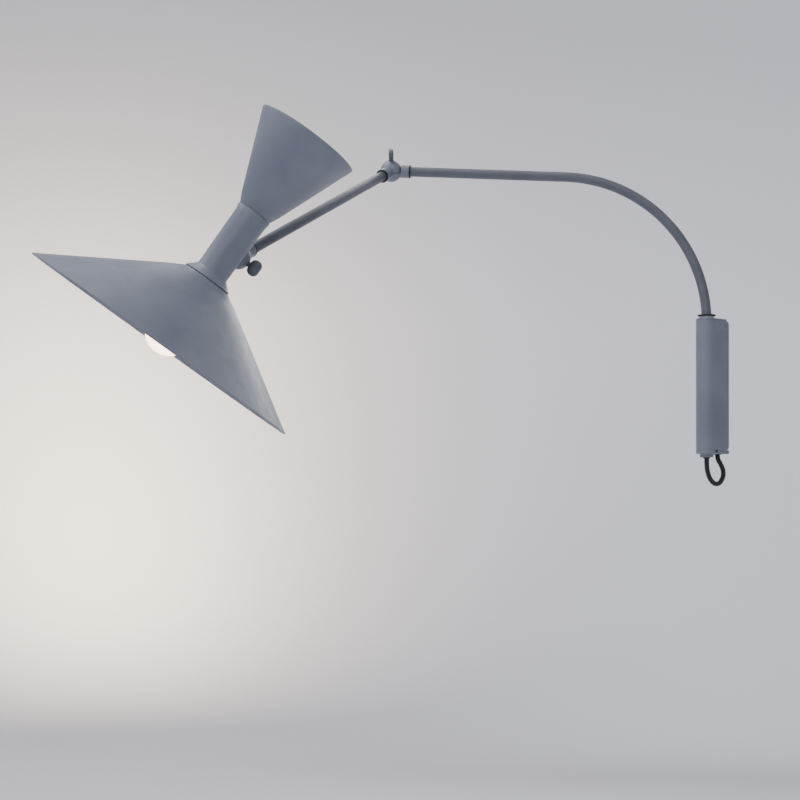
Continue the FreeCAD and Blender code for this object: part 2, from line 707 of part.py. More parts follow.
def end_fittings(label, place, sleeve):
    # swivel washer and hollow spigot at a tube end; X runs from the ball centre into the tube
    along = place * along_x
    low = "%s + face_gap" % sleeve
    ring(label + "_washer", along, "spigot_radius + fit", "swivel_radius", low, low + " + swivel_height")
    deep = "%s + swivel_height + spigot_grip" % low
    ring(label + "_spigot", along, "spigot_bore", "spigot_radius", "spigot_reach", deep)


# ---- ball joints; X along this half's sleeve, the half itself above the parting plane


def ball_half(stem, bores, nut):
    # the stem and the dome are one piece; the bores run through both
    radius = "ball_radius"
    low = move(-mm(radius), -mm(radius), mm("halves_gap / 2"))
    ball = primitive("Sphere", move(), Radius=radius)
    upper = primitive("Box", low, Length="2 * ball_radius", Width="2 * ball_radius", Height=radius)
    dome = joined("MultiCommon", [ball, upper])

    swing = primitive("Sphere", move(), Radius="ball_radius + sleeve_gap")
    under = move(-2 * mm(radius), -2 * mm(radius), mm("halves_gap / 2") - 4 * mm(radius))
    wide = "4 * ball_radius"
    below = primitive("Box", under, Length=wide, Width=wide, Height=wide)
    stem = cut(stem, [joined("MultiCommon", [swing, below])])

    space = primitive("Cylinder", move(), Radius="cavity_radius", Height="cavity_depth")
    post = primitive("Cylinder", move(), Radius="post_radius", Height="cavity_depth")
    hole = primitive("Cylinder", move(), Radius="stud_radius + fit", Height="2 * ball_radius")
    seat = primitive("Cylinder", move(z=mm("ball_flat")), Radius="ball_radius", Height="ball_radius")
    tools = bores + [cut(space, [post]), hole, seat]
    if nut:
        pocket_low = move(z=mm("ball_radius - clamp_nut_inset - clamp_nut_height"))
        tools.append(hexagon(pocket_low, "(clamp_nut_width + 2 * face_gap)", "ball_radius"))
    return cut(joined("MultiFuse", [dome, stem]), tools)


def sleeved_half(label, place, sleeve, nut):
    stem = primitive("Cylinder", along_x, Radius="sleeve_radius", Height=sleeve)
    bore = primitive("Cylinder", along_x * move(z=mm("post_radius")), Radius="tube_bore", Height=sleeve)
    keep(ball_half(stem, [bore], nut), label, place)


def make_elbow():
    sleeved_half("elbow_lower_half", elbow * backwards * upside_down, "main_sleeve", True)
    sleeved_half("elbow_upper_half", lower_arm, "lower_sleeve", False)
    clamp("elbow", elbow, elbow, "elbow_knob_turn")


def blade_outline(base):
    # rectangle with round corners, seen from its broad side
    top = base + " + knob_height"
    left, right = "-(knob_width / 2)", "(knob_width / 2)"
    inner_left, inner_right = "(knob_corner - knob_width / 2)", "(knob_width / 2 - knob_corner)"
    low, high = base + " + knob_corner", top + " - knob_corner"
    return [
        (inner_left, base),
        (inner_right, base, inner_right, low, 1),
        (right, low),
        (right, high, inner_right, high, 1),
        (inner_right, top),
        (inner_left, top, inner_left, high, 1),
        (left, high),
        (left, low, inner_left, low, 1),
    ]


def clamp(label, place, nut_place, knob_turn):
    # what holds two halves together: friction washer, nut below, stud and knob above
    half = "friction_height / 2"
    inner, outer = "cavity_radius + friction_inset", "ball_radius - friction_inset"
    ring(label + "_friction_washer", place, inner, outer, "-" + half, half)
    low = move(z=-mm("ball_radius - clamp_nut_inset"))
    blank = hexagon(low, "clamp_nut_width", "clamp_nut_height - fit")
    bore = primitive("Cylinder", low, Radius="stud_radius + fit", Height="clamp_nut_height")
    keep(cut(blank, [bore]), label + "_nut", nut_place)

    seat = "(ball_flat + face_gap)"
    stud = primitive("Cylinder", move(), Radius="stud_radius", Height="stud_length + stud_grip - face_gap")
    keep(stud, label + "_screw_stud", place * move(z=mm(seat + " - stud_length")))

    body = new_body(label + "_thumb_screw", place * turn_about(axis_z, mm(knob_turn)))
    base = seat + " + neck_height"
    blade = pad(body, "XZ_Plane", [blade_outline(base)], "-knob_thickness / 2", "knob_thickness")
    face = mm("knob_thickness / 2")

    def blade_edge(edge):
        return abs(abs(edge.BoundBox.Center.y) - face) < touching and edge.BoundBox.YLength < touching

    fillet(body, blade, "knob_rounding", blade_edge)
    top = base + " + neck_sink"
    revolve(body, [("0", seat), ("neck_radius", seat), ("neck_top", base), ("neck_top", top), ("0", top)])
    pocket(body, "XY_Plane", [("circle", "0", "0", "stud_radius + fit")], seat, "stud_grip")


# ---- lower arm and head knuckle


def make_lower_arm():
    start = "(lower_sleeve + face_gap + swivel_height)"
    end = "(lower_arm_length - head_sleeve - face_gap - swivel_height)"
    along = lower_arm * along_x
    ring("lower_arm_tube", along, "tube_bore", "tube_radius", start, end)
    cable = "lower_arm_length - 2 * spigot_reach"
    cable_start = along * move(z=mm("spigot_reach"))
    keep(primitive("Cylinder", move(), Radius="cord_radius", Height=cable), "lower_arm_cable", cable_start)
    end_fittings("lower_arm_top", lower_arm, "lower_sleeve")
    end_fittings("lower_arm_end", lower_arm * move(x=mm("lower_arm_length")) * backwards, "head_sleeve")


def on_stub(across=0.0, along=0.0):
    # a place on the stub's middle line, seen from the ball centre
    return move(along, across, mm("halves_gap / 2 + stub_lift + stub_height / 2"))


def make_head_stub():
    # flat-sided stub from the ball to the body, ending in a saddle; X towards the head's axis, seen with
    # the head half above the parting plane
    reach = "knuckle_offset"
    offset = mm("stub_width / 2 - stub_height / 2")
    flat = on_stub(-offset) * move(z=-mm("stub_height / 2"))
    shapes = [primitive("Box", flat, Length=reach, Width="stub_width - stub_height", Height="stub_height")]
    for across in (-offset, offset):
        shapes.append(primitive("Cylinder", on_stub(across) * along_x, Radius="stub_height / 2", Height=reach))
    cable_start = on_stub(along=mm("post_radius")) * along_x
    bores = [primitive("Cylinder", cable_start, Radius="cord_radius + fit", Height=reach)]
    tip = mm("knuckle_offset - %s - stub_screw_length - stub_screw_spare" % screw_seat)
    for side in (-1, 1):
        place = on_stub(side * mm("stub_screw_spacing / 2"), tip) * along_x
        bores.append(primitive("Cylinder", place, Radius="stub_screw_radius + fit", Height=reach))
    return cut(joined("MultiFuse", shapes), [body_outside(head_from_stub)]), bores


# the head's frame seen from the stub's, which lies upside down in the pivot's frame
head_from_stub = (pivot * upside_down).inverse() * head


def body_outside(place):
    foot = place * move(z=mm("flange_top"))
    low, high = "body_low_radius + fit", "body_high_radius + fit"
    return primitive("Cone", foot, Radius1=low, Radius2=high, Height="collar_base - flange_top")


def make_knuckle():
    arm_side = knuckle * backwards
    sleeved_half("knuckle_arm_half", arm_side, "head_sleeve", False)
    stub, bores = make_head_stub()
    keep(ball_half(stub, bores, True), "knuckle_head_half", pivot * upside_down)
    clamp("knuckle", knuckle, pivot, "knuckle_knob_turn")
    screws = []
    for side in (-1, 1):
        across = side * mm("stub_screw_spacing / 2")
        seat = on_stub(across, mm("knuckle_offset - %s" % screw_seat)) * along_x
        shank = "stub_screw_length"
        low = seat * move(z=-mm(shank))
        screws.append(primitive("Cylinder", low, Radius="stub_screw_radius", Height=shank + " + fit"))
        size = {"Radius": "stub_screw_head_radius", "Height": "stub_screw_head_height"}
        screws.append(primitive("Cylinder", seat, **size))
    keep(joined("MultiFuse", screws), "knuckle_screws", pivot * upside_down)


# ---- head; heights are measured from the wide rim along the head's axis

stub_aside = "(halves_gap / 2 + stub_lift + stub_height / 2 - knuckle_side)"
body_inside = "(body_low_radius - body_wall)"
screw_edge = "(%s + stub_screw_head_radius)" % stub_aside
screw_seat = "(sqrt(pow(%s; 2) - pow(%s; 2)) - fit)" % (body_inside, screw_edge)


def make_head_tube():
    wall = "body_wall"
    profile = [
        ("flange_radius", "flange_base"),
        ("body_low_radius", "flange_top"),
        ("body_high_radius", "collar_base"),
        ("collar_radius", "collar_top - collar_bevel_height"),
        ("collar_radius - collar_bevel", "collar_top"),
        ("body_high_radius - body_wall", "collar_top"),
        ("body_high_radius - body_wall", "collar_base"),
        (body_inside, "flange_top"),
        (body_inside, "flange_base + body_wall"),
        ("flange_radius - 2 * body_wall", "flange_base"),
    ]
    body = turned("head_tube", head, profile)
    holes = [("circle", stub_aside, "knuckle_height", "cord_radius + fit")]
    for side in ("-", "+"):
        height = "knuckle_height %s stub_screw_spacing / 2" % side
        holes.append(("circle", stub_aside, height, "stub_screw_radius + fit"))
    pocket(body, "YZ_Plane", holes, "body_low_radius / 2", "body_low_radius")


def cone_shade(label, place, rim, neck, height, floor):
    # spun cone with a rolled rim and a flat floor that the lampholder's ring clamps
    slope = "((%s - %s) / (%s))" % (rim, neck, height)
    wall = "sheet * sqrt(1 + pow(%s; 2))" % slope
    profile = [
        (rim, "0"),
        (neck, height),
        (floor, height),
        (floor, "%s - sheet" % height),
        ("%s + sheet * %s - %s" % (neck, slope, wall), "%s - sheet" % height),
        ("%s - %s" % (rim, wall), "0"),
    ]
    body = turned(label, place, profile)
    revolve(body, ("circle", "%s - bead_radius" % rim, "0", "bead_radius"))


def make_shades():
    floor = "holder_radius + floor_play"
    cone_shade("big_shade", head, "big_rim_radius", "big_top_radius", "big_height", floor)
    top_down = head * move(z=mm("head_length")) * turn_about(axis_x, 180)
    height = "(head_length - collar_top - face_gap)"
    cone_shade("small_shade", top_down, "small_rim_radius", "small_base_radius", height, floor)


def make_lampholder(label, place):
    # mouth at height 0, terminals at the far end
    far = "holder_length"
    profile = [
        ("holder_mouth_radius", "0"),
        ("holder_radius", "0"),
        ("holder_radius", far + " - holder_taper_height"),
        ("holder_radius - holder_taper", far),
        ("nipple_radius + fit", far),
        ("nipple_radius + fit", far + " - holder_thread"),
        ("0", far + " - holder_thread"),
        ("0", "holder_mouth_depth"),
        ("holder_mouth_radius", "holder_mouth_depth"),
    ]
    turned(label, place, profile)


def make_lamp(label, place):
    # golf-ball lamp: globe centre at height 0, cap above it; the neck leaves the globe at (0.8, 0.6) of its
    # radius
    inside = "(globe_radius - glass_wall)"
    neck = "globe_neck - globe_neck_straight"
    foot = "globe_neck - face_gap"
    glass = [
        ("0", "-globe_radius", "0", "0", 1),
        ("globe_radius * 0.8", "globe_radius * 0.6"),
        ("globe_neck_radius", neck),
        ("globe_neck_radius", foot),
        ("globe_neck_radius - glass_wall", foot),
        ("globe_neck_radius - glass_wall", neck),
        (inside + " * 0.8", inside + " * 0.6", "0", "0", -1),
        ("0", "-" + inside),
    ]
    turned(label + "_bulb_globe", place, glass)
    tip = "globe_neck + cap_length"
    cap = [
        ("0", "globe_neck"),
        ("globe_neck_radius", "globe_neck"),
        ("cap_radius", "globe_neck + cap_shoulder"),
        ("cap_radius", tip + " - cap_tip_height"),
        ("cap_tip_radius", tip + " - contact_height"),
        ("0", tip),
    ]
    turned(label + "_bulb_cap", place, cap)


def make_lights():
    lower = head * move(z=mm("lower_holder_base"))
    upper = head * move(z=mm("upper_holder_top")) * upside_down
    make_lampholder("lower_lampholder", lower)
    make_lampholder("upper_lampholder", upper)
    mouth_to_tip = mm("holder_mouth_depth - fit - globe_neck - cap_length")
    make_lamp("lower", lower * move(z=mouth_to_tip))
    make_lamp("upper", upper * move(z=mouth_to_tip))
    inner = "holder_radius + fit"
    under = "big_height - sheet - face_gap"
    ring("lower_shade_ring", head, inner, "shade_ring_radius", under + " - shade_ring_height", under)
    over = "collar_top + face_gap + sheet + fit"
    ring("upper_shade_ring", head, inner, "shade_ring_radius", over, over + " + shade_ring_height")
    low = "lower_holder_base + holder_length - holder_thread + fit"
    high = "upper_holder_top - holder_length + holder_thread - fit"
    ring("holder_nipple", head, "nipple_bore", "nipple_radius", low, high)
    top = "bridge_base + bridge_height"
    ring("holder_bridge", head, "nipple_radius + fit", body_inside + " - fit", "bridge_base", top)


arm_low = bracket_low * turn_about(axis_z, mm("arm_swing") - 90)

make_wall_plate()
make_bracket_shell()
make_caps()
make_bearing()
make_side_screws()
make_terminal()
make_cord_exit()
make_cord()
make_main_arm()
make_elbow()
make_lower_arm()
make_knuckle()
make_head_tube()
make_shades()
make_lights()
doc.recompute()

# ---- check every object, then write one file for each piece

for item in doc.Objects:
    if "Invalid" in item.State or "Error" in item.State:
        raise RuntimeError("%s did not build: %s" % (item.Label, item.State))
for piece in pieces:
    if piece.Shape.isNull() or not piece.Shape.isValid() or not piece.Shape.Solids:
        raise RuntimeError("%s has no valid solid" % piece.Label)

os.makedirs("parts", exist_ok=True)
for piece in pieces:
    piece.Shape.exportStep("parts/%s.step" % piece.Label)
print("%d pieces written" % len(pieces))
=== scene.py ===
import bpy
from math import cos, hypot, radians, sin
from mathutils import Matrix, Vector


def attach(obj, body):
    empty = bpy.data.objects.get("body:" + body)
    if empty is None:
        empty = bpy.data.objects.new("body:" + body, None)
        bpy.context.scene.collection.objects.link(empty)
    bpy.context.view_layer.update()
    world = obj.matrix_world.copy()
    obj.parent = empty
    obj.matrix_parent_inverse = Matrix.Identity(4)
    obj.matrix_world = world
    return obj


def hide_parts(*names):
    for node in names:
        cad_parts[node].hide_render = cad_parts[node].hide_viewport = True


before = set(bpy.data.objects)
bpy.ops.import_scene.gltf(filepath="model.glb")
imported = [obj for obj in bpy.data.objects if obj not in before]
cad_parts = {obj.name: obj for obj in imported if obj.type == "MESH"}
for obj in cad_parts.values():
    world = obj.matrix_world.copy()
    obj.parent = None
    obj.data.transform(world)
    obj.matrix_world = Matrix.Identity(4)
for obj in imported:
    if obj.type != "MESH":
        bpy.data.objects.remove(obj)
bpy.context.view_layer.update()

# An articulating wall lamp. The modelling is in millimetres and each finished piece is brought to metres
# and to its place in the frame. Lengths below repeat those of the CAD source.

mm = 0.001


def shift(x=0.0, y=0.0, z=0.0):
    return Matrix.Translation((x, y, z))


def turn(axis, degrees):
    return Matrix.Rotation(radians(degrees), 4, axis)


# ---- where the moving parts stand at rest

pose = {
    "armSwing": -51.6,
    "armRise": 3.4,
    "elbowTurn": -23.5,
    "elbowBend": 76.2,
    "headTurn": -119.0,
    "headTilt": -32.1,
    "headFromKnuckle": (28.8, 108.5, -3.7),
}
bracket = {
    "toWall": 24.0,
    "halfWidth": 11.5,
    "wall": 1.8,
    "height": 144.0,
    "topCap": 2.0,
    "bottomCap": 4.0,
    "backCorner": 4.0,
    "edge": 0.3,
    "capEdge": 1.2,
    "screwFromWall": 6.9,
    "screwBelowTop": 9.2,
    "screwRadius": 1.5,
    "screwLength": 3.6,
    "screwRecess": 0.3,
    "socketWidth": 1.5,
    "socketDepth": 1.6,
}
arms = {
    "tube": 5.3,
    "bore": 4.2,
    "bendDrop": 3.9,
    "bendRadius": 159.0,
    "straight": 190.5,
    "lower": 366.0,
    "washer": 7.2,
    "washerBore": 4.15,
    "washerHeight": 1.4,
    "gap": 0.1,
    "mainSleeve": 20.0,
    "lowerSleeve": 24.5,
    "headSleeve": 24.5,
}
rise = radians(pose["armRise"])
bendAngle = 90 - pose["armRise"]
elbowOut = arms["bendRadius"] * (1 - sin(rise)) + arms["straight"] * cos(rise)
elbowUp = arms["bendRadius"] * cos(rise) + arms["straight"] * sin(rise)

foot = shift(0, -bracket["toWall"], -bracket["height"] / 2)
footTurned = foot @ turn("Z", pose["armSwing"] - 90)
arm = footTurned @ shift(z=bracket["height"] - arms["bendDrop"])
armEnd = arm @ shift(elbowOut, 0, elbowUp) @ turn("Y", -pose["armRise"])
elbow = armEnd @ turn("X", pose["elbowTurn"])
lowerArm = elbow @ turn("Z", pose["elbowBend"])
knuckle = lowerArm @ shift(arms["lower"]) @ turn("X", pose["headTurn"])
pivot = knuckle @ turn("Z", pose["headTilt"])
headAxes = Matrix(((-1, 0, 0, 0), (0, 0, -1, 0), (0, -1, 0, 0), (0, 0, 0, 1)))
head = pivot @ shift(*pose["headFromKnuckle"]) @ headAxes
alongX = turn("Y", 90)
backwards = turn("Z", 180)
upsideDown = turn("X", 180)

# ---- materials


def linear(code):
    channels = [int(code[place : place + 2], 16) / 255 for place in (0, 2, 4)]
    return [c / 12.92 if c <= 0.04045 else ((c + 0.055) / 1.055) ** 2.4 for c in channels] + [1.0]


def addNode(tree, kind, settings, links=()):
    node = tree.nodes.new("ShaderNode" + kind)
    for name, value in settings.items():
        if name in node.inputs:
            node.inputs[name].default_value = value
        else:
            setattr(node, name, value)
    for name, output in dict(links).items():
        tree.links.new(output, node.inputs[name])
    return node


def newMaterial(name, settings):
    material = bpy.data.materials.new(name)
    material.use_nodes = True
    tree = material.node_tree
    shader = tree.nodes["Principled BSDF"]
    for socket, value in settings.items():
        shader.inputs[socket].default_value = value
    return material, tree, shader


def place(tree, stretch=(1, 1, 1), source="Object"):
    coordinates = addNode(tree, "TexCoord", {})
    mapping = addNode(tree, "Mapping", {"Scale": stretch}, {"Vector": coordinates.outputs[source]})
    return mapping.outputs["Vector"]


def perMm(size):
    return 1000 / size        # texture scale for a pattern of that size in millimetres


def twoTones(tree, shader, first, second, size, where, detail=2.0):
    # colour that drifts between two close tones
    drift = addNode(tree, "TexNoise", {"Scale": perMm(size), "Detail": detail}, {"Vector": where})
    ramp = addNode(tree, "ValToRGB", {}, {"Fac": drift.outputs["Fac"]})
    ramp.color_ramp.elements[0].position = 0.35
    ramp.color_ramp.elements[1].position = 0.65
    ramp.color_ramp.elements[0].color = linear(first)
    ramp.color_ramp.elements[1].color = linear(second)
    tree.links.new(ramp.outputs["Color"], shader.inputs["Base Color"])
    return ramp


def roughBetween(tree, shader, low, high, size, where):
    grain = addNode(tree, "TexNoise", {"Scale": perMm(size), "Detail": 3.0}, {"Vector": where})
    spread = {"From Min": 0.3, "From Max": 0.7, "To Min": low, "To Max": high}
    spreadNode = addNode(tree, "MapRange", spread, {"Value": grain.outputs["Fac"]})
    tree.links.new(spreadNode.outputs["Result"], shader.inputs["Roughness"])


def bump(tree, shader, height, strength, depth):
    node = addNode(tree, "Bump", {"Strength": strength, "Distance": depth * mm}, {"Height": height})
    tree.links.new(node.outputs["Normal"], shader.inputs["Normal"])


def makePowderCoat():
    # aluminium with a baked satin powder coat: a soft sheen broken by orange peel about 1.2 mm across
    material, tree, shader = newMaterial("Satin powder coat on spun aluminium", {"Specular IOR Level": 0.5})
    where = place(tree)
    twoTones(tree, shader, "5d626e", "656b77", 38, where)
    roughBetween(tree, shader, 0.36, 0.46, 9, where)
    grain = {"Scale": perMm(1.2), "Detail": 1.5, "Roughness": 0.4}
    peel = addNode(tree, "TexNoise", grain, {"Vector": where})
    bump(tree, shader, peel.outputs["Fac"], 0.25, 0.05)
    return material


def makeShadedTubeCoat():
    # the same coat on steel tube, a little flatter; its darker tone is painted shade on the arms
    material, tree, shader = newMaterial("Satin powder coat on steel tube with painted shade", {"Specular IOR Level": 0.45})
    where = place(tree)
    twoTones(tree, shader, "484b53", "50535b", 24, where)
    roughBetween(tree, shader, 0.44, 0.54, 7, where)
    grain = {"Scale": perMm(1.0), "Detail": 1.5, "Roughness": 0.4}
    peel = addNode(tree, "TexNoise", grain, {"Vector": where})
    bump(tree, shader, peel.outputs["Fac"], 0.25, 0.05)
    return material


def makeShadedKnobCoat():
    # die-cast zinc with the same coat, a little smoother; its darker tone is painted shade for the shadow the
    # knobs sit in
    material, tree, shader = newMaterial("Satin coat on die-cast zinc with painted shade", {"Specular IOR Level": 0.5})
    where = place(tree)
    twoTones(tree, shader, "464c52", "50565c", 6, where)
    roughBetween(tree, shader, 0.28, 0.42, 3, where)
    peel = addNode(tree, "TexNoise", {"Scale": perMm(0.9), "Detail": 2.0}, {"Vector": where})
    bump(tree, shader, peel.outputs["Fac"], 0.3, 0.06)
    return material


def makeReflectorEnamel():
    # white stoved enamel inside the shades: bright and half matt, with a faint orange peel
    material, tree, shader = newMaterial("White stoved enamel", {"Specular IOR Level": 0.5})
    where = place(tree)
    twoTones(tree, shader, "e9e6de", "f2efe8", 45, where)
    roughBetween(tree, shader, 0.45, 0.58, 12, where)
    peel = addNode(tree, "TexNoise", {"Scale": perMm(1.4), "Detail": 1.5}, {"Vector": where})
    bump(tree, shader, peel.outputs["Fac"], 0.2, 0.05)
    return material


def makeNylon():
    # turned black nylon: matt with a waxy edge
    material, tree, shader = newMaterial("Turned black nylon", {"Specular IOR Level": 0.45})
    where = place(tree)
    twoTones(tree, shader, "0c0c0e", "161719", 3, where)
    roughBetween(tree, shader, 0.42, 0.6, 1.5, where)
    marks = addNode(tree, "TexNoise", {"Scale": perMm(0.4), "Detail": 3.0}, {"Vector": where})
    bump(tree, shader, marks.outputs["Fac"], 0.25, 0.03)
    return material


def makeAcetal():
    # moulded light grey acetal: smooth, slightly translucent
    settings = {"Subsurface Weight": 0.08, "Subsurface Scale": 0.002, "Specular IOR Level": 0.5}
    material, tree, shader = newMaterial("Moulded acetal", settings)
    where = place(tree)
    twoTones(tree, shader, "8b9097", "989da3", 5, where)
    roughBetween(tree, shader, 0.3, 0.42, 2, where)
    return material


def makeThermoset():
    # white moulded thermoset of the lampholders: hard and fairly glossy
    material, tree, shader = newMaterial("Moulded white thermoset", {"Specular IOR Level": 0.5})
    where = place(tree)
    twoTones(tree, shader, "dddcd6", "e8e7e2", 8, where)
    roughBetween(tree, shader, 0.25, 0.38, 3, where)
    return material


def makeZinc():
    # zinc-plated steel: cloudy grey with a fine grain
    material, tree, shader = newMaterial("Zinc-plated steel", {"Metallic": 1.0})
    where = place(tree)
    twoTones(tree, shader, "9fa2a6", "b8bbbe", 2.5, where)
    roughBetween(tree, shader, 0.28, 0.48, 1.2, where)
    grain = addNode(tree, "TexNoise", {"Scale": perMm(0.5), "Detail": 4.0}, {"Vector": where})
    bump(tree, shader, grain.outputs["Fac"], 0.2, 0.02)
    return material


def makeBrass():
    # turned brass, dulled by handling
    material, tree, shader = newMaterial("Turned brass", {"Metallic": 1.0})
    where = place(tree)
    twoTones(tree, shader, "b08d45", "c6a45c", 3, where)
    roughBetween(tree, shader, 0.25, 0.4, 1.5, where)
    return material


def makeNickel():
    # nickel-plated lamp cap
    material, tree, shader = newMaterial("Nickel-plated brass", {"Metallic": 1.0})
    where = place(tree)
    twoTones(tree, shader, "bcb8af", "cfccc4", 2.5, where)
    roughBetween(tree, shader, 0.16, 0.3, 1.0, where)
    return material


def makeOpal(name, settings, glow):
    # opal glass: milky body under a clear skin; when lit it glows almost evenly, with a faint cloudy
    # variation
    base = {"Subsurface Weight": 0.25, "Subsurface Scale": 0.004, "Coat Weight": 0.6, "Coat Roughness": 0.05}
    material, tree, shader = newMaterial(name, {**base, **settings})
    where = place(tree)
    twoTones(tree, shader, "edebe6", "f6f4f0", 14, where)
    roughBetween(tree, shader, 0.14, 0.22, 8, where)
    if glow:
        cloud = addNode(tree, "TexNoise", {"Scale": perMm(22), "Detail": 1.0}, {"Vector": where})
        spread = {"From Min": 0.3, "From Max": 0.7, "To Min": glow * 0.9, "To Max": glow}
        strength = addNode(tree, "MapRange", spread, {"Value": cloud.outputs["Fac"]})
        tree.links.new(strength.outputs["Result"], shader.inputs["Emission Strength"])
    return material


def makeBraid():
    # black textile sleeve braided from bundles about 1.1 mm wide: dull, with a raised diagonal weave
    settings = {"Sheen Weight": 0.1, "Sheen Roughness": 0.5, "Roughness": 0.85}
    material, tree, shader = newMaterial("Braided textile sleeve", settings)
    heights = []
    bundles, turns = 60, 12        # along the cord and round it
    for slope in (1, -1):
        where = place(tree, (bundles, slope * turns, 1), "UV")
        strands = addNode(tree, "TexWave", {"Scale": 1.0, "Distortion": 0.4}, {"Vector": where})
        strands.bands_direction = "DIAGONAL"
        heights.append(strands.outputs["Fac"])
    weave = addNode(tree, "Math", {"operation": "MAXIMUM"})
    tree.links.new(heights[0], weave.inputs[0])
    tree.links.new(heights[1], weave.inputs[1])
    # the weave's hollows get the darker tone and the strand tops the lighter one: painted shade in the
    # hollows
    ramp = addNode(tree, "ValToRGB", {}, {"Fac": weave.outputs["Value"]})
    ramp.color_ramp.elements[0].color = linear("060607")
    ramp.color_ramp.elements[1].color = linear("161618")
    tree.links.new(ramp.outputs["Color"], shader.inputs["Base Color"])
    bump(tree, shader, weave.outputs["Value"], 0.7, 0.25)
    return material


coat = makePowderCoat()
shadedTubeCoat = makeShadedTubeCoat()
shadedKnobCoat = makeShadedKnobCoat()
enamel = makeReflectorEnamel()
nylon = makeNylon()
acetal = makeAcetal()
thermoset = makeThermoset()
zinc = makeZinc()
brass = makeBrass()
nickel = makeNickel()
litSettings = {"Emission Color": linear("ffe9c8"), "Emission Strength": 6.0}
litOpal = makeOpal("Opal glass, lit", litSettings, 6.0)
plainOpal = makeOpal("Opal glass", {"IOR": 1.5}, 0)
braid = makeBraid()
print("materials made")

# ---- modelling helpers


def clear():
    if bpy.context.object and bpy.context.object.mode != "OBJECT":
        bpy.ops.object.mode_set(mode="OBJECT")
    bpy.ops.object.select_all(action="DESELECT")


def pick(piece):
    clear()
    piece.select_set(True)
    bpy.context.view_layer.objects.active = piece


def editing(piece):
    pick(piece)
    bpy.ops.object.mode_set(mode="EDIT")
    bpy.ops.mesh.select_all(action="SELECT")


def select(piece, wanted, mode="VERT"):
    # selects the points that satisfy the test, and the edges and faces whose points all do
    # stays in edit mode
    pick(piece)
    mesh = piece.data
    for vertex in mesh.vertices:
        vertex.select = wanted(vertex.co)
    for edge in mesh.edges:
        edge.select = all(mesh.vertices[index].select for index in edge.vertices)
    for face in mesh.polygons:
        face.select = all(mesh.vertices[index].select for index in face.vertices)
    bpy.context.tool_settings.mesh_select_mode = (mode == "VERT", mode == "EDGE", mode == "FACE")
    bpy.ops.object.mode_set(mode="EDIT")


def selectEdges(piece, wanted):
    # selects the edges whose two ends satisfy the test; stays in edit mode
    select(piece, lambda point: False, "EDGE")
    bpy.ops.object.mode_set(mode="OBJECT")
    points = piece.data.vertices
    for edge in piece.data.edges:
        first, last = [points[index].co for index in edge.vertices]
        edge.select = wanted(first, last)
    bpy.ops.object.mode_set(mode="EDIT")


def tidyMesh(piece):
    editing(piece)
    bpy.ops.mesh.remove_doubles(threshold=0.0005)
    bpy.ops.mesh.normals_make_consistent(inside=False)
    bpy.ops.object.mode_set(mode="OBJECT")


def lathe(rings, sides=96, hollow=False):
    # a ring is extruded and scaled up the axis; a hollow piece ends on its first ring
    clear()
    fill = "NOTHING" if hollow else "NGON"
    (radius, height), others = rings[0], rings[1:]
    bpy.ops.mesh.primitive_circle_add(
        vertices=sides, radius=radius, fill_type=fill, location=(0, 0, height))
    piece = bpy.context.object
    bpy.ops.object.transform_apply(location=True, rotation=False, scale=False)
    editing(piece)
    for nextRadius, nextHeight in others + (rings[:1] if hollow else []):
        rise = {"value": (0, 0, nextHeight - height)}
        bpy.ops.mesh.extrude_region_move(TRANSFORM_OT_translate=rise)
        grow = nextRadius / radius
        bpy.ops.transform.resize(value=(grow, grow, 1), center_override=(0, 0, nextHeight))
        radius, height = nextRadius, nextHeight
    tidyMesh(piece)
    return piece


def arc(centreR, centreZ, radius, start, end, steps):
    # points (radius, height) on an arc, angles from the radius towards the height
    angles = [radians(start + (end - start) * step / steps) for step in range(steps + 1)]
    return [(centreR + radius * cos(a), centreZ + radius * sin(a)) for a in angles]


def roundRing(inner, outer, low, high, edge):
    # section of a ring with rounded outer edges
    rings = [(inner, low)] + arc(outer - edge, low + edge, edge, -90, 0, 4)
    return rings + arc(outer - edge, high - edge, edge, 0, 90, 4) + [(inner, high)]


def applyModifier(piece, kind, **settings):
    pick(piece)
    modifier = piece.modifiers.new(kind.title(), kind)
    for name, value in settings.items():
        setattr(modifier, name, value)
    bpy.ops.object.modifier_apply(modifier=modifier.name)


def bevelEdges(piece, width, segments=3, angle=40):
    applyModifier(
        piece, "BEVEL", width=width, segments=segments, limit_method="ANGLE", angle_limit=radians(angle),
        harden_normals=False, use_clamp_overlap=True)


def combine(piece, other, operation="DIFFERENCE"):
    applyModifier(piece, "BOOLEAN", object=other, operation=operation, solver="EXACT")
    bpy.data.objects.remove(other)
    return piece


def rod(radius, length, start=Matrix(), sides=48):
    clear()
    bpy.ops.mesh.primitive_cylinder_add(
        vertices=sides, radius=radius, depth=length, location=(0, 0, length / 2))
    piece = bpy.context.object
    bpy.ops.object.transform_apply(location=True, rotation=False, scale=False)
    return moved(piece, start)


def moved(piece, matrix):
    pick(piece)
    piece.matrix_world = matrix @ piece.matrix_world
    bpy.ops.object.transform_apply(location=True, rotation=True, scale=True)
    return piece


def finished(name, piece, where, materials, body, nodes, smooth=32):
    # brings a piece to metres and to its place, and ties it to the CAD model
    tidyMesh(piece)
    moved(piece, Matrix.Scale(mm, 4) @ where)
    pick(piece)
    bpy.ops.object.shade_smooth_by_angle(angle=radians(smooth))
    piece.name = name
    piece.data.name = name
    if not piece.data.materials:
        for material in materials:
            piece.data.materials.append(material)
    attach(piece, body)
    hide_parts(*nodes)
    return piece


# ---- camera, stage and lights

view = {
    "position": (1.2435, -1.6545, -0.1424),
    "towards": (-0.7254, 0.6884, 0.0),
    "lens": 85.5,
    "sensor": 36.0,
    "shiftUp": 0.15,
}


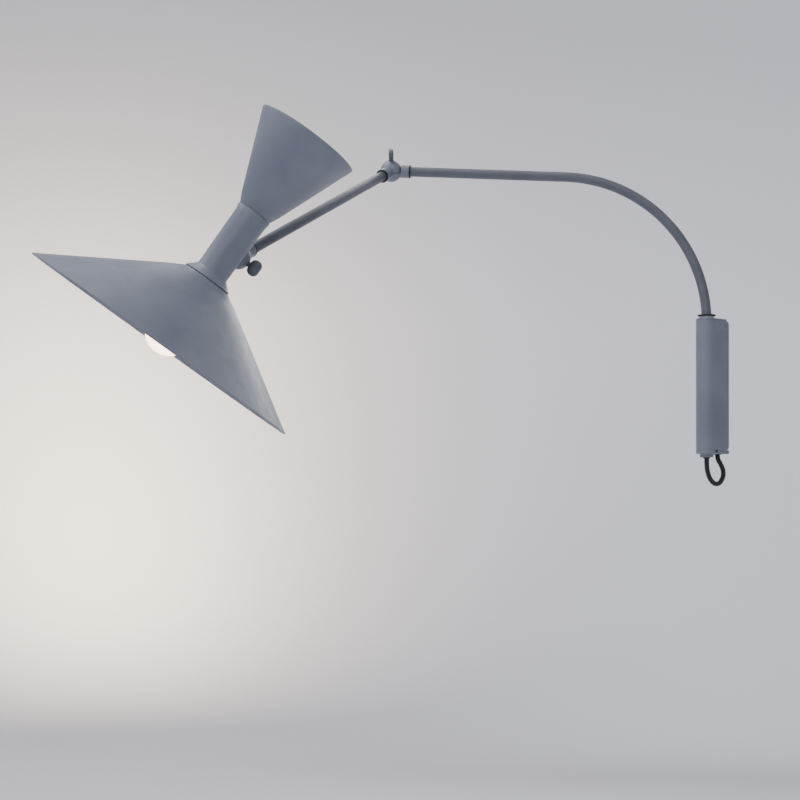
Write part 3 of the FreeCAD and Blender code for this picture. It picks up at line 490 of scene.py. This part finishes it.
def setCamera():
    data = bpy.data.cameras.new("Camera")
    data.lens = view["lens"]
    data.sensor_width = view["sensor"]
    data.shift_y = view["shiftUp"]
    camera = bpy.data.objects.new("Camera", data)
    camera.location = view["position"]
    camera.rotation_euler = Vector(view["towards"]).to_track_quat("-Z", "Y").to_euler()
    bpy.context.collection.objects.link(camera)
    bpy.context.scene.camera = camera


stage = {
    "floor": -900.0,
    "reach": 5200.0,
    "cove": 1500.0,
    "height": 5200.0,
    "colour": "f1f2f7",
    "sky": "e9ecf2",
    "skyStrength": 0.31,
}


def setStage():
    # a pale round floor that curves up into a pale wall all round
    cove = arc(stage["reach"] - stage["cove"], stage["floor"] + stage["cove"], stage["cove"], -90, 0, 24)
    rings = [(1.0, stage["floor"])] + cove + [(stage["reach"], stage["height"])]
    room = lathe(rings, 128)
    select(room, lambda point: point.z > stage["height"] - 1, "FACE")
    bpy.ops.mesh.delete(type="ONLY_FACE")
    bpy.ops.mesh.select_all(action="SELECT")
    bpy.ops.mesh.flip_normals()
    bpy.ops.object.mode_set(mode="OBJECT")
    moved(room, Matrix.Scale(mm, 4))
    bpy.ops.object.shade_smooth()
    room.name = "Floor"
    material, tree, shader = newMaterial("Pale studio paint", {"Roughness": 0.9, "Specular IOR Level": 0.2})
    shader.inputs["Base Color"].default_value = linear(stage["colour"])
    room.data.materials.append(material)
    world = bpy.data.worlds.new("Soft sky")
    bpy.context.scene.world = world
    world.use_nodes = True
    world.node_tree.nodes["Background"].inputs["Color"].default_value = linear(stage["sky"])
    world.node_tree.nodes["Background"].inputs["Strength"].default_value = stage["skyStrength"]


middle = (-0.12, -0.35, 0.05)
lights = {
    "overhead": {
        "from": (-0.9, -1.0, 2.2), "to": middle,
        "size": 2.4, "power": 73.0, "colour": "fdfdff",
    },
    "overRight": {
        "from": (1.8, -1.2, 2.0), "to": middle,
        "size": 1.6, "power": 24.0, "colour": "fdfdff",
    },
    "behind": {
        "from": (-1.6, 1.8, 1.4), "to": middle,
        "size": 1.6, "power": 36.0, "colour": "fdfdff",
    },
    "front": {
        "from": (0.6, -2.6, 0.8), "to": middle,
        "size": 1.6, "power": 15.0, "colour": "f2f6ff",
    },
    "left": {
        "from": (-1.6, -2.2, 0.6), "to": middle,
        "size": 1.6, "power": 4.0, "colour": "eef3ff",
    },
    "glow": {
        "from": (-3.76, 1.86, 0.16), "to": (-4.57, 2.26, 0.16),
        "size": 0.5, "power": 27.0, "colour": "ffe9cc",
    },
    "wall": {
        "from": (-2.15, 2.94, 0.3), "to": (-3.09, 4.23, 0.3),
        "size": 1.2, "power": 7.0, "colour": "f6f8ff",
    },
}


def setLights():
    for name, light in lights.items():
        data = bpy.data.lights.new(name, "AREA")
        data.size = light["size"]
        data.energy = light["power"]
        data.color = linear(light["colour"])[:3]
        lamp = bpy.data.objects.new(name, data)
        lamp.location = light["from"]
        lamp.rotation_euler = (Vector(light["to"]) - lamp.location).to_track_quat("-Z", "Y").to_euler()
        lamp.visible_camera = False
        bpy.context.collection.objects.link(lamp)


setCamera()
setStage()
setLights()
print("camera, stage and lights set")

# ---- the cord: a short loop that lets the arm turn

supplyCord = {"radius": 2.6, "fromAxis": 18.8}
cordRoute = [
    (0.0, 0.0, -5.1),
    (0.0, 0.0, -13.2),
    (0.5, 1.2, -20.2),
    (1.6, 4.4, -27.6),
    (3.2, 10.4, -32.4),
    (5.2, 16.6, -31.0),
    (6.6, 20.5, -23.8),
    (6.2, 20.8, -16.8),
    (3.0, 20.2, -10.0),
    (0.0, supplyCord["fromAxis"], -5.0),
    (0.0, supplyCord["fromAxis"], 0.0),
]


def makeCord():
    data = bpy.data.curves.new("supplyCord", "CURVE")
    data.dimensions = "3D"
    data.resolution_u = 12
    data.bevel_depth = supplyCord["radius"] * mm
    data.bevel_resolution = 8
    data.use_fill_caps = True
    spline = data.splines.new("NURBS")
    spline.points.add(len(cordRoute) - 1)
    for point, corner in zip(spline.points, cordRoute):
        point.co = (*(foot @ Vector(corner) * mm), 1.0)
    spline.order_u = 3
    spline.use_endpoint_u = True
    cord = bpy.data.objects.new("supplyCord", data)
    bpy.context.collection.objects.link(cord)
    data.materials.append(braid)
    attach(cord, "bracket")
    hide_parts("supply_cord")


makeCord()
print("cord made")

# ---- bracket


def coverOutline(back):
    # round nose and two straight sides as one open line of edges, at height 0
    clear()
    bpy.ops.mesh.primitive_circle_add(vertices=96, radius=bracket["halfWidth"])
    line = bpy.context.object
    select(line, lambda point: point.y > 0.01)
    bpy.ops.mesh.delete(type="VERT")
    bpy.ops.object.mode_set(mode="OBJECT")
    select(line, lambda point: point.y > -0.01)
    bpy.ops.mesh.extrude_region_move(TRANSFORM_OT_translate={"value": (0, back, 0)})
    bpy.ops.object.mode_set(mode="OBJECT")
    return line


def bevelPicked(radius, segments):
    bpy.ops.mesh.bevel(offset=radius, segments=segments, affect="EDGES")
    bpy.context.tool_settings.mesh_select_mode = (True, False, False)
    bpy.ops.object.mode_set(mode="OBJECT")


def roundBack(piece, back, radius):
    # rounds the side walls' back corners, seen from the side
    heights = [vertex.co.z for vertex in piece.data.vertices]
    for level in (min(heights), max(heights)):
        select(piece, lambda point: abs(point.y - back) < 0.01 and abs(point.z - level) < 0.01, "EDGE")
        bevelPicked(radius, 8)


def screwPlace():
    outwards = bracket["toWall"] - bracket["screwFromWall"]
    return shift(0, outwards, bracket["height"] - bracket["screwBelowTop"])


def makeCover():
    cover = coverOutline(bracket["toWall"])
    editing(cover)
    length = bracket["height"] - bracket["topCap"] - bracket["bottomCap"]
    bpy.ops.mesh.extrude_region_move(TRANSFORM_OT_translate={"value": (0, 0, length)})
    bpy.ops.object.mode_set(mode="OBJECT")
    moved(cover, shift(z=bracket["bottomCap"]))
    tidyMesh(cover)
    applyModifier(cover, "SOLIDIFY", thickness=bracket["wall"], offset=-1, use_even_offset=True)
    roundBack(cover, bracket["toWall"], bracket["backCorner"])
    play, reach = 0.08, 40        # the drill passes through both sides
    combine(cover, rod(bracket["screwRadius"] + play, reach, screwPlace() @ shift(-reach / 2) @ alongX))
    bevelEdges(cover, bracket["edge"])
    finished("bracketCover", cover, foot, [coat], "bracket", ["bracket_shell"])


def capBlank(back, low, high):
    cap = coverOutline(back)
    editing(cap)
    bpy.ops.mesh.edge_face_add()
    bpy.ops.mesh.extrude_region_move(TRANSFORM_OT_translate={"value": (0, 0, high - low)})
    bpy.ops.object.mode_set(mode="OBJECT")
    moved(cap, shift(z=low))
    tidyMesh(cap)
    return cap


caps = {
    "bushHole": 6.6,
    "topEdge": 0.35,
    "armHole": 5.55,
    "cordHole": 3.65,
    "notchDepth": 2.4,
    "notchMiddle": 2.3,
    "notchWidth": 3.4,
}


def makeCaps():
    height = bracket["height"]
    top = capBlank(bracket["toWall"] - bracket["backCorner"], height - bracket["topCap"], height)
    combine(top, rod(caps["bushHole"], 10, shift(z=height - 5)))
    bevelEdges(top, caps["topEdge"])
    finished("topCap", top, foot, [coat], "bracket", ["top_cap"])

    bottom = capBlank(bracket["toWall"], 0, bracket["bottomCap"])
    select(bottom, lambda point: point.z < 0.01, "EDGE")
    bevelPicked(bracket["capEdge"], 5)
    combine(bottom, rod(caps["armHole"], 10, shift(z=-3)))
    combine(bottom, rod(caps["cordHole"], 10, shift(0, supplyCord["fromAxis"], -3)))
    block = 10        # the notch cutter is larger than the notch, outwards and upwards
    for side in (-1, 1):
        across = side * (bracket["halfWidth"] - caps["notchDepth"] + block / 2)
        clear()
        bpy.ops.mesh.primitive_cube_add(size=1)
        cutter = bpy.context.object
        cutter.scale = (block, caps["notchWidth"], block)
        bpy.ops.object.transform_apply(scale=True)
        moved(cutter, shift(across, caps["notchMiddle"], bracket["bottomCap"] / 3 + block / 2))
        combine(bottom, cutter)
    finished("bottomCap", bottom, foot, [coat], "bracket", ["bottom_cap"])


def hexagon(width, height, start=Matrix()):
    clear()
    bpy.ops.mesh.primitive_cylinder_add(
        vertices=6, radius=width / 3**0.5, depth=height, location=(0, 0, height / 2))
    piece = bpy.context.object
    bpy.ops.object.transform_apply(location=True, rotation=False, scale=False)
    return moved(piece, start)


def makeSideScrews():
    length = bracket["screwLength"]
    screws = []
    for side in (0, 180):
        screw = rod(bracket["screwRadius"], length, Matrix(), 40)
        bevelEdges(screw, 0.25)
        combine(screw, hexagon(bracket["socketWidth"], 3, shift(z=length - bracket["socketDepth"])))
        inside = shift(bracket["halfWidth"] - bracket["screwRecess"] - length)
        screws.append(moved(screw, foot @ screwPlace() @ turn("Z", side) @ inside @ alongX))
    pick(screws[0])
    screws[1].select_set(True)
    bpy.ops.object.join()
    finished("coverScrews", screws[0], Matrix(), [zinc], "bracket", ["side_screws"])


collar = {
    "bore": 5.7,
    "bush": 6.55,
    "depth": 18.0,
    "radius": 7.85,
    "height": 2.6,
    "edge": 0.4,
}
stopRing = {
    "bore": 5.65,
    "radius": 9.7,
    "height": 1.6,
    "edge": 0.5,
}


def makeCollar():
    top = bracket["height"]
    bore, bush, radius, edge = [collar[name] for name in ("bore", "bush", "radius", "edge")]
    face = top + collar["height"]
    rings = [(bore, top - collar["depth"]), (bush, top - collar["depth"]), (bush, top), (radius, top)]
    rings += arc(radius - edge, face - edge, edge, 0, 90, 4) + [(bore, face)]
    piece = lathe(rings, 96, True)
    finished("bushCollar", piece, foot, [acetal], "bracket", ["upper_bush"])
    low = face + arms["gap"]
    section = roundRing(stopRing["bore"], stopRing["radius"], low, low + stopRing["height"], stopRing["edge"])
    ring = lathe(section, 96, True)
    finished("armStopRing", ring, footTurned, [nylon], "main_arm", ["arm_stop_ring"])


nut = {
    "bore": 5.35,
    "washer": 7.5,
    "washerHeight": 0.6,
    "width": 14.0,
    "height": 3.0,
    "chamfer": 0.6,
}
gland = {
    "bore": 2.65,
    "drop": 1.4,
    "tip": 3.7,
    "round": 0.7,
    "inTube": 4.15,
    "depth": 9.0,
}
grommet = {
    "bore": 2.65,
    "lip": 0.5,
    "flange": 4.3,
    "round": 0.4,
    "inCap": 3.6,
}
nutDrop = nut["washerHeight"] + arms["gap"] + nut["height"]


def makeNut():
    # hexagon nut with turned chamfers, its washer and the cord gland in it
    low = -nut["washerHeight"] - arms["gap"]
    washer = lathe(roundRing(nut["bore"], nut["washer"], low, -arms["gap"], 0.12), 72, True)
    finished("nutWasher", washer, footTurned, [zinc], "main_arm", ["nut_washer"])
    piece = hexagon(nut["width"], nut["height"])
    corner = 8.2        # just past the nut's corners
    chamfer = [(nut["width"] / 2 + 0.05, 0), (corner, nut["chamfer"]), (corner, nut["height"])]
    combine(piece, lathe(chamfer, 72), "INTERSECT")
    combine(piece, rod(nut["bore"], 10, shift(z=-3), 72))
    bevelEdges(piece, 0.12, 2, 25)
    below = footTurned @ shift(z=-nutDrop)
    finished("retainingNut", piece, below, [coat], "main_arm", ["retaining_nut"])

    bend, drop, inTube = gland["round"], gland["drop"], gland["inTube"]
    rings = [(gland["bore"], -drop)] + arc(gland["tip"] - bend, bend - drop, bend, -90, 0, 5)
    rings += [(gland["tip"], 0), (inTube, 0), (inTube, gland["depth"]), (gland["bore"], gland["depth"])]
    finished("cordGland", lathe(rings, 64, True), below, [nylon], "main_arm", ["cord_gland"])

    bend, under = grommet["round"], -0.05
    rings = [(grommet["bore"], -grommet["lip"])]
    rings += arc(grommet["flange"] - bend, bend - grommet["lip"], bend, -90, 0, 3)
    rings += [(grommet["flange"], under), (grommet["inCap"], under)]
    rings += [(grommet["inCap"], bracket["bottomCap"]), (grommet["bore"], bracket["bottomCap"])]
    place = foot @ shift(y=supplyCord["fromAxis"])
    piece = lathe(rings, 64, True)
    finished("cordGrommet", piece, place, [nylon], "bracket", ["cord_grommet"])


makeCover()
makeCaps()
makeSideScrews()
makeCollar()
makeNut()
print("bracket made")

# ---- main arm and lower arm


def makeMainArm():
    # a ring drawn up through the bracket, spun round the bend and drawn out to the elbow
    clear()
    drop = bracket["height"] - arms["bendDrop"] + nutDrop
    bpy.ops.mesh.primitive_circle_add(vertices=64, radius=arms["tube"], location=(0, 0, -drop))
    tube = bpy.context.object
    bpy.ops.object.transform_apply(location=True, rotation=False, scale=False)
    editing(tube)
    bpy.ops.mesh.extrude_region_move(TRANSFORM_OT_translate={"value": (0, 0, drop)})
    centre = (arms["bendRadius"], 0, 0)
    bpy.ops.mesh.spin(steps=72, angle=-radians(bendAngle), center=centre, axis=(0, 1, 0))
    length = arms["straight"] - arms["mainSleeve"] - arms["gap"] - arms["washerHeight"]
    out = (length * cos(rise), 0, length * sin(rise))
    bpy.ops.mesh.extrude_region_move(TRANSFORM_OT_translate={"value": out})
    tidyMesh(tube)
    applyModifier(tube, "SOLIDIFY", thickness=arms["tube"] - arms["bore"], offset=-1)
    finished("mainArmTube", tube, arm, [shadedTubeCoat], "main_arm", ["main_arm_tube"], 40)


def makeLowerArm():
    start = arms["lowerSleeve"] + arms["gap"] + arms["washerHeight"]
    end = arms["lower"] - arms["headSleeve"] - arms["gap"] - arms["washerHeight"]
    inner, outer = arms["bore"], arms["tube"]
    tube = lathe([(inner, start), (outer, start), (outer, end), (inner, end)], 64, True)
    bevelEdges(tube, 0.2, 2)
    along = lowerArm @ alongX
    finished("lowerArmTube", tube, along, [shadedTubeCoat], "lower_arm", ["lower_arm_tube"])


def makeSwivelWasher(name, where, sleeve, body, node):
    low = sleeve + arms["gap"]
    section = roundRing(arms["washerBore"], arms["washer"], low, low + arms["washerHeight"], 0.35)
    ring = lathe(section, 72, True)
    finished(name, ring, where @ alongX, [nylon], body, [node])


makeMainArm()
makeLowerArm()
farEnd = lowerArm @ shift(arms["lower"]) @ backwards
makeSwivelWasher("mainArmWasher", armEnd @ backwards, arms["mainSleeve"], "main_arm", "main_arm_washer")
makeSwivelWasher("lowerArmTopWasher", lowerArm, arms["lowerSleeve"], "lower_arm", "lower_arm_top_washer")
makeSwivelWasher("lowerArmEndWasher", farEnd, arms["headSleeve"], "lower_arm", "lower_arm_end_washer")
print("arms made")

# ---- ball joints

ball = {
    "radius": 11.8,
    "sleeve": 6.9,
    "clearance": 1.6,
    "gap": 0.3,
    "cavity": 8.2,
    "cavityDepth": 5.5,
    "post": 4.0,
    "flat": 11.2,
    "studHole": 2.05,
    "nutWidth": 7.2,
    "nutDepth": 5.2,
    "edge": 0.35,
}


def slab(low, high, size=60):
    # a square block between two heights
    clear()
    bpy.ops.mesh.primitive_cube_add(size=1, location=(0, 0, (low + high) / 2))
    block = bpy.context.object
    block.scale = (size, size, high - low)
    bpy.ops.object.transform_apply(location=True, rotation=False, scale=True)
    return block


def sphere(radius, segments=96):
    clear()
    bpy.ops.mesh.primitive_uv_sphere_add(segments=segments, ring_count=segments // 2, radius=radius)
    return bpy.context.object


def ballHalf(stem, bores, nut):
    # half a ball above the parting plane with its stem, hollowed where the other half turns
    swing = combine(sphere(ball["radius"] + ball["clearance"]), slab(-40, ball["gap"]), "INTERSECT")
    combine(stem, swing)
    dome = combine(sphere(ball["radius"]), slab(ball["gap"], 40), "INTERSECT")
    half = combine(dome, stem, "UNION")
    space = rod(ball["cavity"], ball["cavityDepth"] + 5, shift(z=-5), 72)
    combine(space, rod(ball["post"], 40, shift(z=-20)))
    combine(half, space)
    combine(half, rod(ball["studHole"], 40))
    combine(half, slab(ball["flat"], 40, 40))
    for bore in bores:
        combine(half, bore)
    if nut:
        combine(half, hexagon(ball["nutWidth"], 20, shift(z=ball["radius"] - ball["nutDepth"])))
    bevelEdges(half, ball["edge"], 3, 50)
    return half


def sleevedHalf(name, where, sleeve, nut, body, node):
    stem = rod(ball["sleeve"], sleeve, alongX, 96)
    bore = rod(arms["bore"], sleeve, shift(ball["post"]) @ alongX)
    half = ballHalf(stem, [bore], nut)
    finished(name, half, where, [coat], body, [node])


thumbScrew = {
    "width": 15.6,
    "height": 11.4,
    "thickness": 5.4,
    "corner": 5.2,
    "edge": 2.0,
    "neck": 1.9,
    "neckFoot": 3.1,
    "neckTop": 2.5,
    "neckSunk": 3.0,
    "turnElbow": 99.0,
    "turnKnuckle": 62.0,
}


def makeThumbScrew(name, where, knobTurn, body, node):
    # flat blade with round corners, cast in one with a short neck and drilled for its stud
    seat = ball["flat"] + 0.1
    base = seat + thumbScrew["neck"]
    clear()
    bpy.ops.mesh.primitive_cube_add(size=1)
    knob = bpy.context.object
    knob.scale = (thumbScrew["width"], thumbScrew["thickness"], thumbScrew["height"])
    bpy.ops.object.transform_apply(scale=True)
    selectEdges(knob, lambda first, last: abs(first.y - last.y) > 1)
    bevelPicked(thumbScrew["corner"], 12)
    selectEdges(knob, lambda first, last: abs(first.y - last.y) <= 1)
    bevelPicked(thumbScrew["edge"], 6)
    moved(knob, shift(z=base + thumbScrew["height"] / 2))
    wide, narrow, top = thumbScrew["neckFoot"], thumbScrew["neckTop"], base + thumbScrew["neckSunk"]
    neck = lathe([(0.5, seat), (wide, seat), (narrow, base), (narrow, top), (0.5, top)], 64)
    combine(knob, neck, "UNION")
    combine(knob, rod(ball["studHole"], 8, shift(z=seat - 2)))
    finished(name, knob, where @ turn("Z", knobTurn), [shadedKnobCoat], body, [node], 40)


stub = {
    "height": 9.4,
    "width": 19.0,
    "reach": 28.8,
    "lift": 0.3,
    "cableHole": 2.65,
    "bodyLow": (15.55, 81.0),
    "bodyHigh": (16.25, 140.4),
}


def makeHeadHalf():
    # flat-sided stub that ends in a saddle on the tapered body
    height, width, reach = stub["height"], stub["width"], stub["reach"]
    middle = ball["gap"] + stub["lift"] + height / 2
    clear()
    bpy.ops.mesh.primitive_cube_add(size=1)
    stem = bpy.context.object
    stem.scale = (reach, width, height)
    bpy.ops.object.transform_apply(scale=True)
    moved(stem, shift(reach / 2, 0, middle))
    selectEdges(stem, lambda first, last: abs(first.x - last.x) > 1)
    bevelPicked(height / 2 - 0.02, 12)
    fromStub = (pivot @ upsideDown).inverted() @ head
    saddle = lathe([stub["bodyLow"], stub["bodyHigh"]], 128)
    combine(stem, moved(saddle, fromStub))
    bores = [rod(stub["cableHole"], reach, shift(ball["post"], 0, middle) @ alongX)]
    half = ballHalf(stem, bores, True)
    where = pivot @ upsideDown
    finished("knuckleHeadHalf", half, where, [coat], "head", ["knuckle_head_half"])


below = elbow @ backwards @ upsideDown
sleevedHalf("elbowLowerHalf", below, arms["mainSleeve"], True, "elbow_base", "elbow_lower_half")
sleevedHalf("elbowUpperHalf", lowerArm, arms["lowerSleeve"], False, "elbow_fork", "elbow_upper_half")
armSide = knuckle @ backwards
sleevedHalf("knuckleArmHalf", armSide, arms["headSleeve"], False, "head_knuckle", "knuckle_arm_half")
makeHeadHalf()
makeThumbScrew("elbowThumbScrew", elbow, thumbScrew["turnElbow"], "elbow_knob", "elbow_thumb_screw")
makeThumbScrew("knuckleThumbScrew", knuckle, thumbScrew["turnKnuckle"], "knuckle_knob", "knuckle_thumb_screw")
print("joints made")

# ---- head

shades = {
    "length": 231.0,
    "wideRim": 140.0,
    "wideTop": 24.4,
    "wideHeight": 72.7,
    "narrowRim": 50.0,
    "narrowBase": 16.6,
    "narrowHeight": 83.4,
    "sheet": 1.0,
    "bead": 1.1,
    "floorHole": 13.3,
    "paintedInside": 5.0,
}
body = {
    "wall": 1.4,
    "flangeLow": 73.3,
    "flangeIn": 21.1,
    "flangeOut": 23.9,
    "flangeHigh": 81.0,
    "low": 15.5,
    "collarLow": 140.4,
    "bore": 14.8,
    "collar": 17.1,
    "top": 147.5,
}


def makeBody():
    # turned body: conical flange with a round edge, tapered tube, bevelled collar
    wall, low, high, top = body["wall"], body["flangeLow"], body["collarLow"], body["top"]
    rings = [(body["flangeIn"], low)] + arc(body["flangeOut"] - 0.4, low + 0.4, 0.4, -90, 30, 4)
    rings += arc(body["low"] + 0.8, body["flangeHigh"] + 0.9, 0.8, 210, 180, 4)
    rings += arc(15.0, high + 0.2, 1.2, 0, -20, 3)[::-1] + [(16.25, high + 0.9)]
    rings += arc(body["collar"] - 0.5, top - 0.5, 0.5, 0, 90, 4) + [(body["bore"], top), (body["bore"], high)]
    rings += [(body["low"] - wall, body["flangeHigh"]), (body["low"] - wall, low + wall)]
    piece = lathe(rings, 160, True)
    finished("headBody", piece, head, [coat], "head", ["head_tube"], 30)


def coneShade(name, where, rim, neck, height, node, sides):
    # spun cone: rolled rim, wall, rounded shoulder and the floor that the holder's ring clamps
    slope = (rim - neck) / height
    wall = shades["sheet"] * hypot(1, slope)
    bead = shades["bead"]
    rings = arc(rim - bead, 0, bead, -200, 10, 12)
    for step in range(1, 9):
        rings.append((rim + (neck + 0.6 - rim) * step / 9, height * step / 9))
    rings += arc(neck - 0.7, height - 0.7, 0.7, 20, 90, 4)
    rings += [(shades["floorHole"], height), (shades["floorHole"], height - shades["sheet"])]
    top = neck + slope * shades["sheet"] - wall
    for step in range(9):
        rings.append((top + (rim - wall - top) * step / 9, (height - shades["sheet"]) * (1 - step / 9)))
    shade = lathe(rings, sides, True)
    shade.data.materials.append(coat)
    shade.data.materials.append(enamel)
    for face in shade.data.polygons:
        outwards = Vector((face.center.x, face.center.y, 0)).normalized()
        inside = face.normal.dot(outwards) < -0.1 or face.normal.z < -0.9
        face.material_index = 1 if inside and face.center.z > shades["paintedInside"] else 0
    return finished(name, shade, where, [], "head", [node], 50)


def makeShades():
    wide = [shades[name] for name in ("wideRim", "wideTop", "wideHeight")]
    coneShade("wideShade", head, *wide, "big_shade", 256)
    topDown = head @ shift(z=shades["length"]) @ upsideDown
    narrow = [shades[name] for name in ("narrowRim", "narrowBase", "narrowHeight")]
    coneShade("narrowShade", topDown, *narrow, "small_shade", 192)


holder = {
    "mouth": 11.4,
    "mouthDepth": 30.0,
    "radius": 13.0,
    "groove": 12.65,
    "grooves": 6,
    "pitch": 1.6,
    "shoulder": 3.0,
    "length": 42.0,
    "nipple": 5.1,
    "thread": 8.0,
    "lowerMouth": 40.7,
    "upperMouth": 171.0,
}
shadeRing = {
    "bore": 13.06,
    "radius": 15.2,
    "height": 4.0,
    "edge": 0.4,
    "notches": 12,
    "notch": 0.55,
    "lowerAt": 67.6,
    "upperAt": 148.65,
}


def makeHolder(name, where, node):
    # lampholder: ribbed grip, plain skirt, rounded shoulder
    wide, length, shoulder = holder["radius"], holder["length"], holder["shoulder"]
    rings = [(holder["mouth"], 0)] + arc(wide - 0.6, 0.6, 0.6, -90, 0, 3) + [(wide, 4.0)]
    for step in range(holder["grooves"]):
        low = 4.6 + step * holder["pitch"]
        rings += [(holder["groove"], low), (holder["groove"], low + 0.6)]
        rings += [(wide, low + 1.0), (wide, low + 1.4)]
    rings += [(wide, length - 2 * shoulder)] + arc(wide - shoulder, length - shoulder, shoulder, 0, 80, 6)
    rings += [(holder["nipple"], length), (holder["nipple"], length - holder["thread"])]
    rings += [(0.4, length - holder["thread"]), (0.4, holder["mouthDepth"])]
    rings += [(holder["mouth"], holder["mouthDepth"])]
    piece = lathe(rings, 96, True)
    finished(name, piece, where, [thermoset], "head", [node])


def makeShadeRing(name, where, node):
    # threaded ring with grip notches
    section = roundRing(shadeRing["bore"], shadeRing["radius"], 0, shadeRing["height"], shadeRing["edge"])
    ring = lathe(section, 96, True)
    for step in range(shadeRing["notches"]):
        at = turn("Z", 360 / shadeRing["notches"] * step) @ shift(shadeRing["radius"] + 0.15, 0, -1)
        combine(ring, rod(shadeRing["notch"], 6, at, 16))
    finished(name, ring, where, [thermoset], "head", [node])


lampSize = {
    "globe": 22.5,
    "wall": 1.0,
    "neck": 8.4,
    "neckEnd": 31.9,
    "cap": 7.0,
    "root": 6.5,
    "pitch": 2.8,
    "threads": 6,
    "capFoot": 32.0,
    "aboveMouth": -26.05,
}


def makeLamp(name, where, glass):
    # golf-ball lamp: globe with a drawn-in neck, and a cap with its thread
    radius, neck, end = lampSize["globe"], lampSize["neck"], lampSize["neckEnd"]
    globe = arc(0, 0, radius, -89.5, 36.9, 40)
    globe += [(14.6, 19.0), (11.2, 23.6), (9.2, 26.6), (neck, 29.0), (neck, end)]
    inner = [(neck - lampSize["wall"], end), (neck - lampSize["wall"], 29.0), (8.2, 26.2), (10.4, 22.8)]
    inner += [(13.8, 18.2)] + arc(0, 0, radius - lampSize["wall"], 36.9, -89.5, 30)
    glassPiece = lathe(globe + inner, 96, True)
    finished(name + "Globe", glassPiece, where, [glass], "head", [name + "_bulb_globe"], 60)
    foot, cap, root = lampSize["capFoot"], lampSize["cap"], lampSize["root"]
    rings = [(0.5, foot), (neck, foot), (neck, foot + 1), (cap, foot + 2)]
    for step in range(lampSize["threads"]):
        low = foot + 3 + step * lampSize["pitch"]
        rings += [(root, low), (root + 0.2, low + 0.6), (cap, low + 1.4), (cap - 0.3, low + 2.2)]
    rings += [(root, foot + 20), (4.0, foot + 22.6), (2.4, foot + 23), (2.2, foot + 23.9), (0.3, foot + 24)]
    finished(name + "Cap", lathe(rings, 72), where, [nickel], "head", [name + "_bulb_cap"], 50)


makeBody()
makeShades()
lowerMouth = head @ shift(z=holder["lowerMouth"])
upperMouth = head @ shift(z=holder["upperMouth"]) @ upsideDown
makeHolder("lowerHolder", lowerMouth, "lower_lampholder")
makeHolder("upperHolder", upperMouth, "upper_lampholder")
makeShadeRing("lowerShadeRing", head @ shift(z=shadeRing["lowerAt"]), "lower_shade_ring")
makeShadeRing("upperShadeRing", head @ shift(z=shadeRing["upperAt"]), "upper_shade_ring")
makeLamp("lower", lowerMouth @ shift(z=lampSize["aboveMouth"]), litOpal)
makeLamp("upper", upperMouth @ shift(z=lampSize["aboveMouth"]), plainOpal)
print("head made")

# ---- CAD pieces that stay, each with its finish

finishes = {
    "wall_plate": zinc,
    "swivel_barrel": zinc,
    "lower_bush": acetal,
    "terminal_block": acetal,
    "terminal_screws": zinc,
    "cord_tail": braid,
    "main_arm_cable": braid,
    "lower_arm_cable": braid,
    "main_arm_spigot": brass,
    "lower_arm_top_spigot": brass,
    "lower_arm_end_spigot": brass,
    "elbow_friction_washer": nylon,
    "knuckle_friction_washer": nylon,
    "elbow_nut": zinc,
    "knuckle_nut": zinc,
    "elbow_screw_stud": zinc,
    "knuckle_screw_stud": zinc,
    "knuckle_screws": zinc,
    "holder_bridge": zinc,
    "holder_nipple": zinc,
}
for node, material in finishes.items():
    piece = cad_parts[node]
    piece.data.materials.clear()
    piece.data.materials.append(material)
print("finishes given")
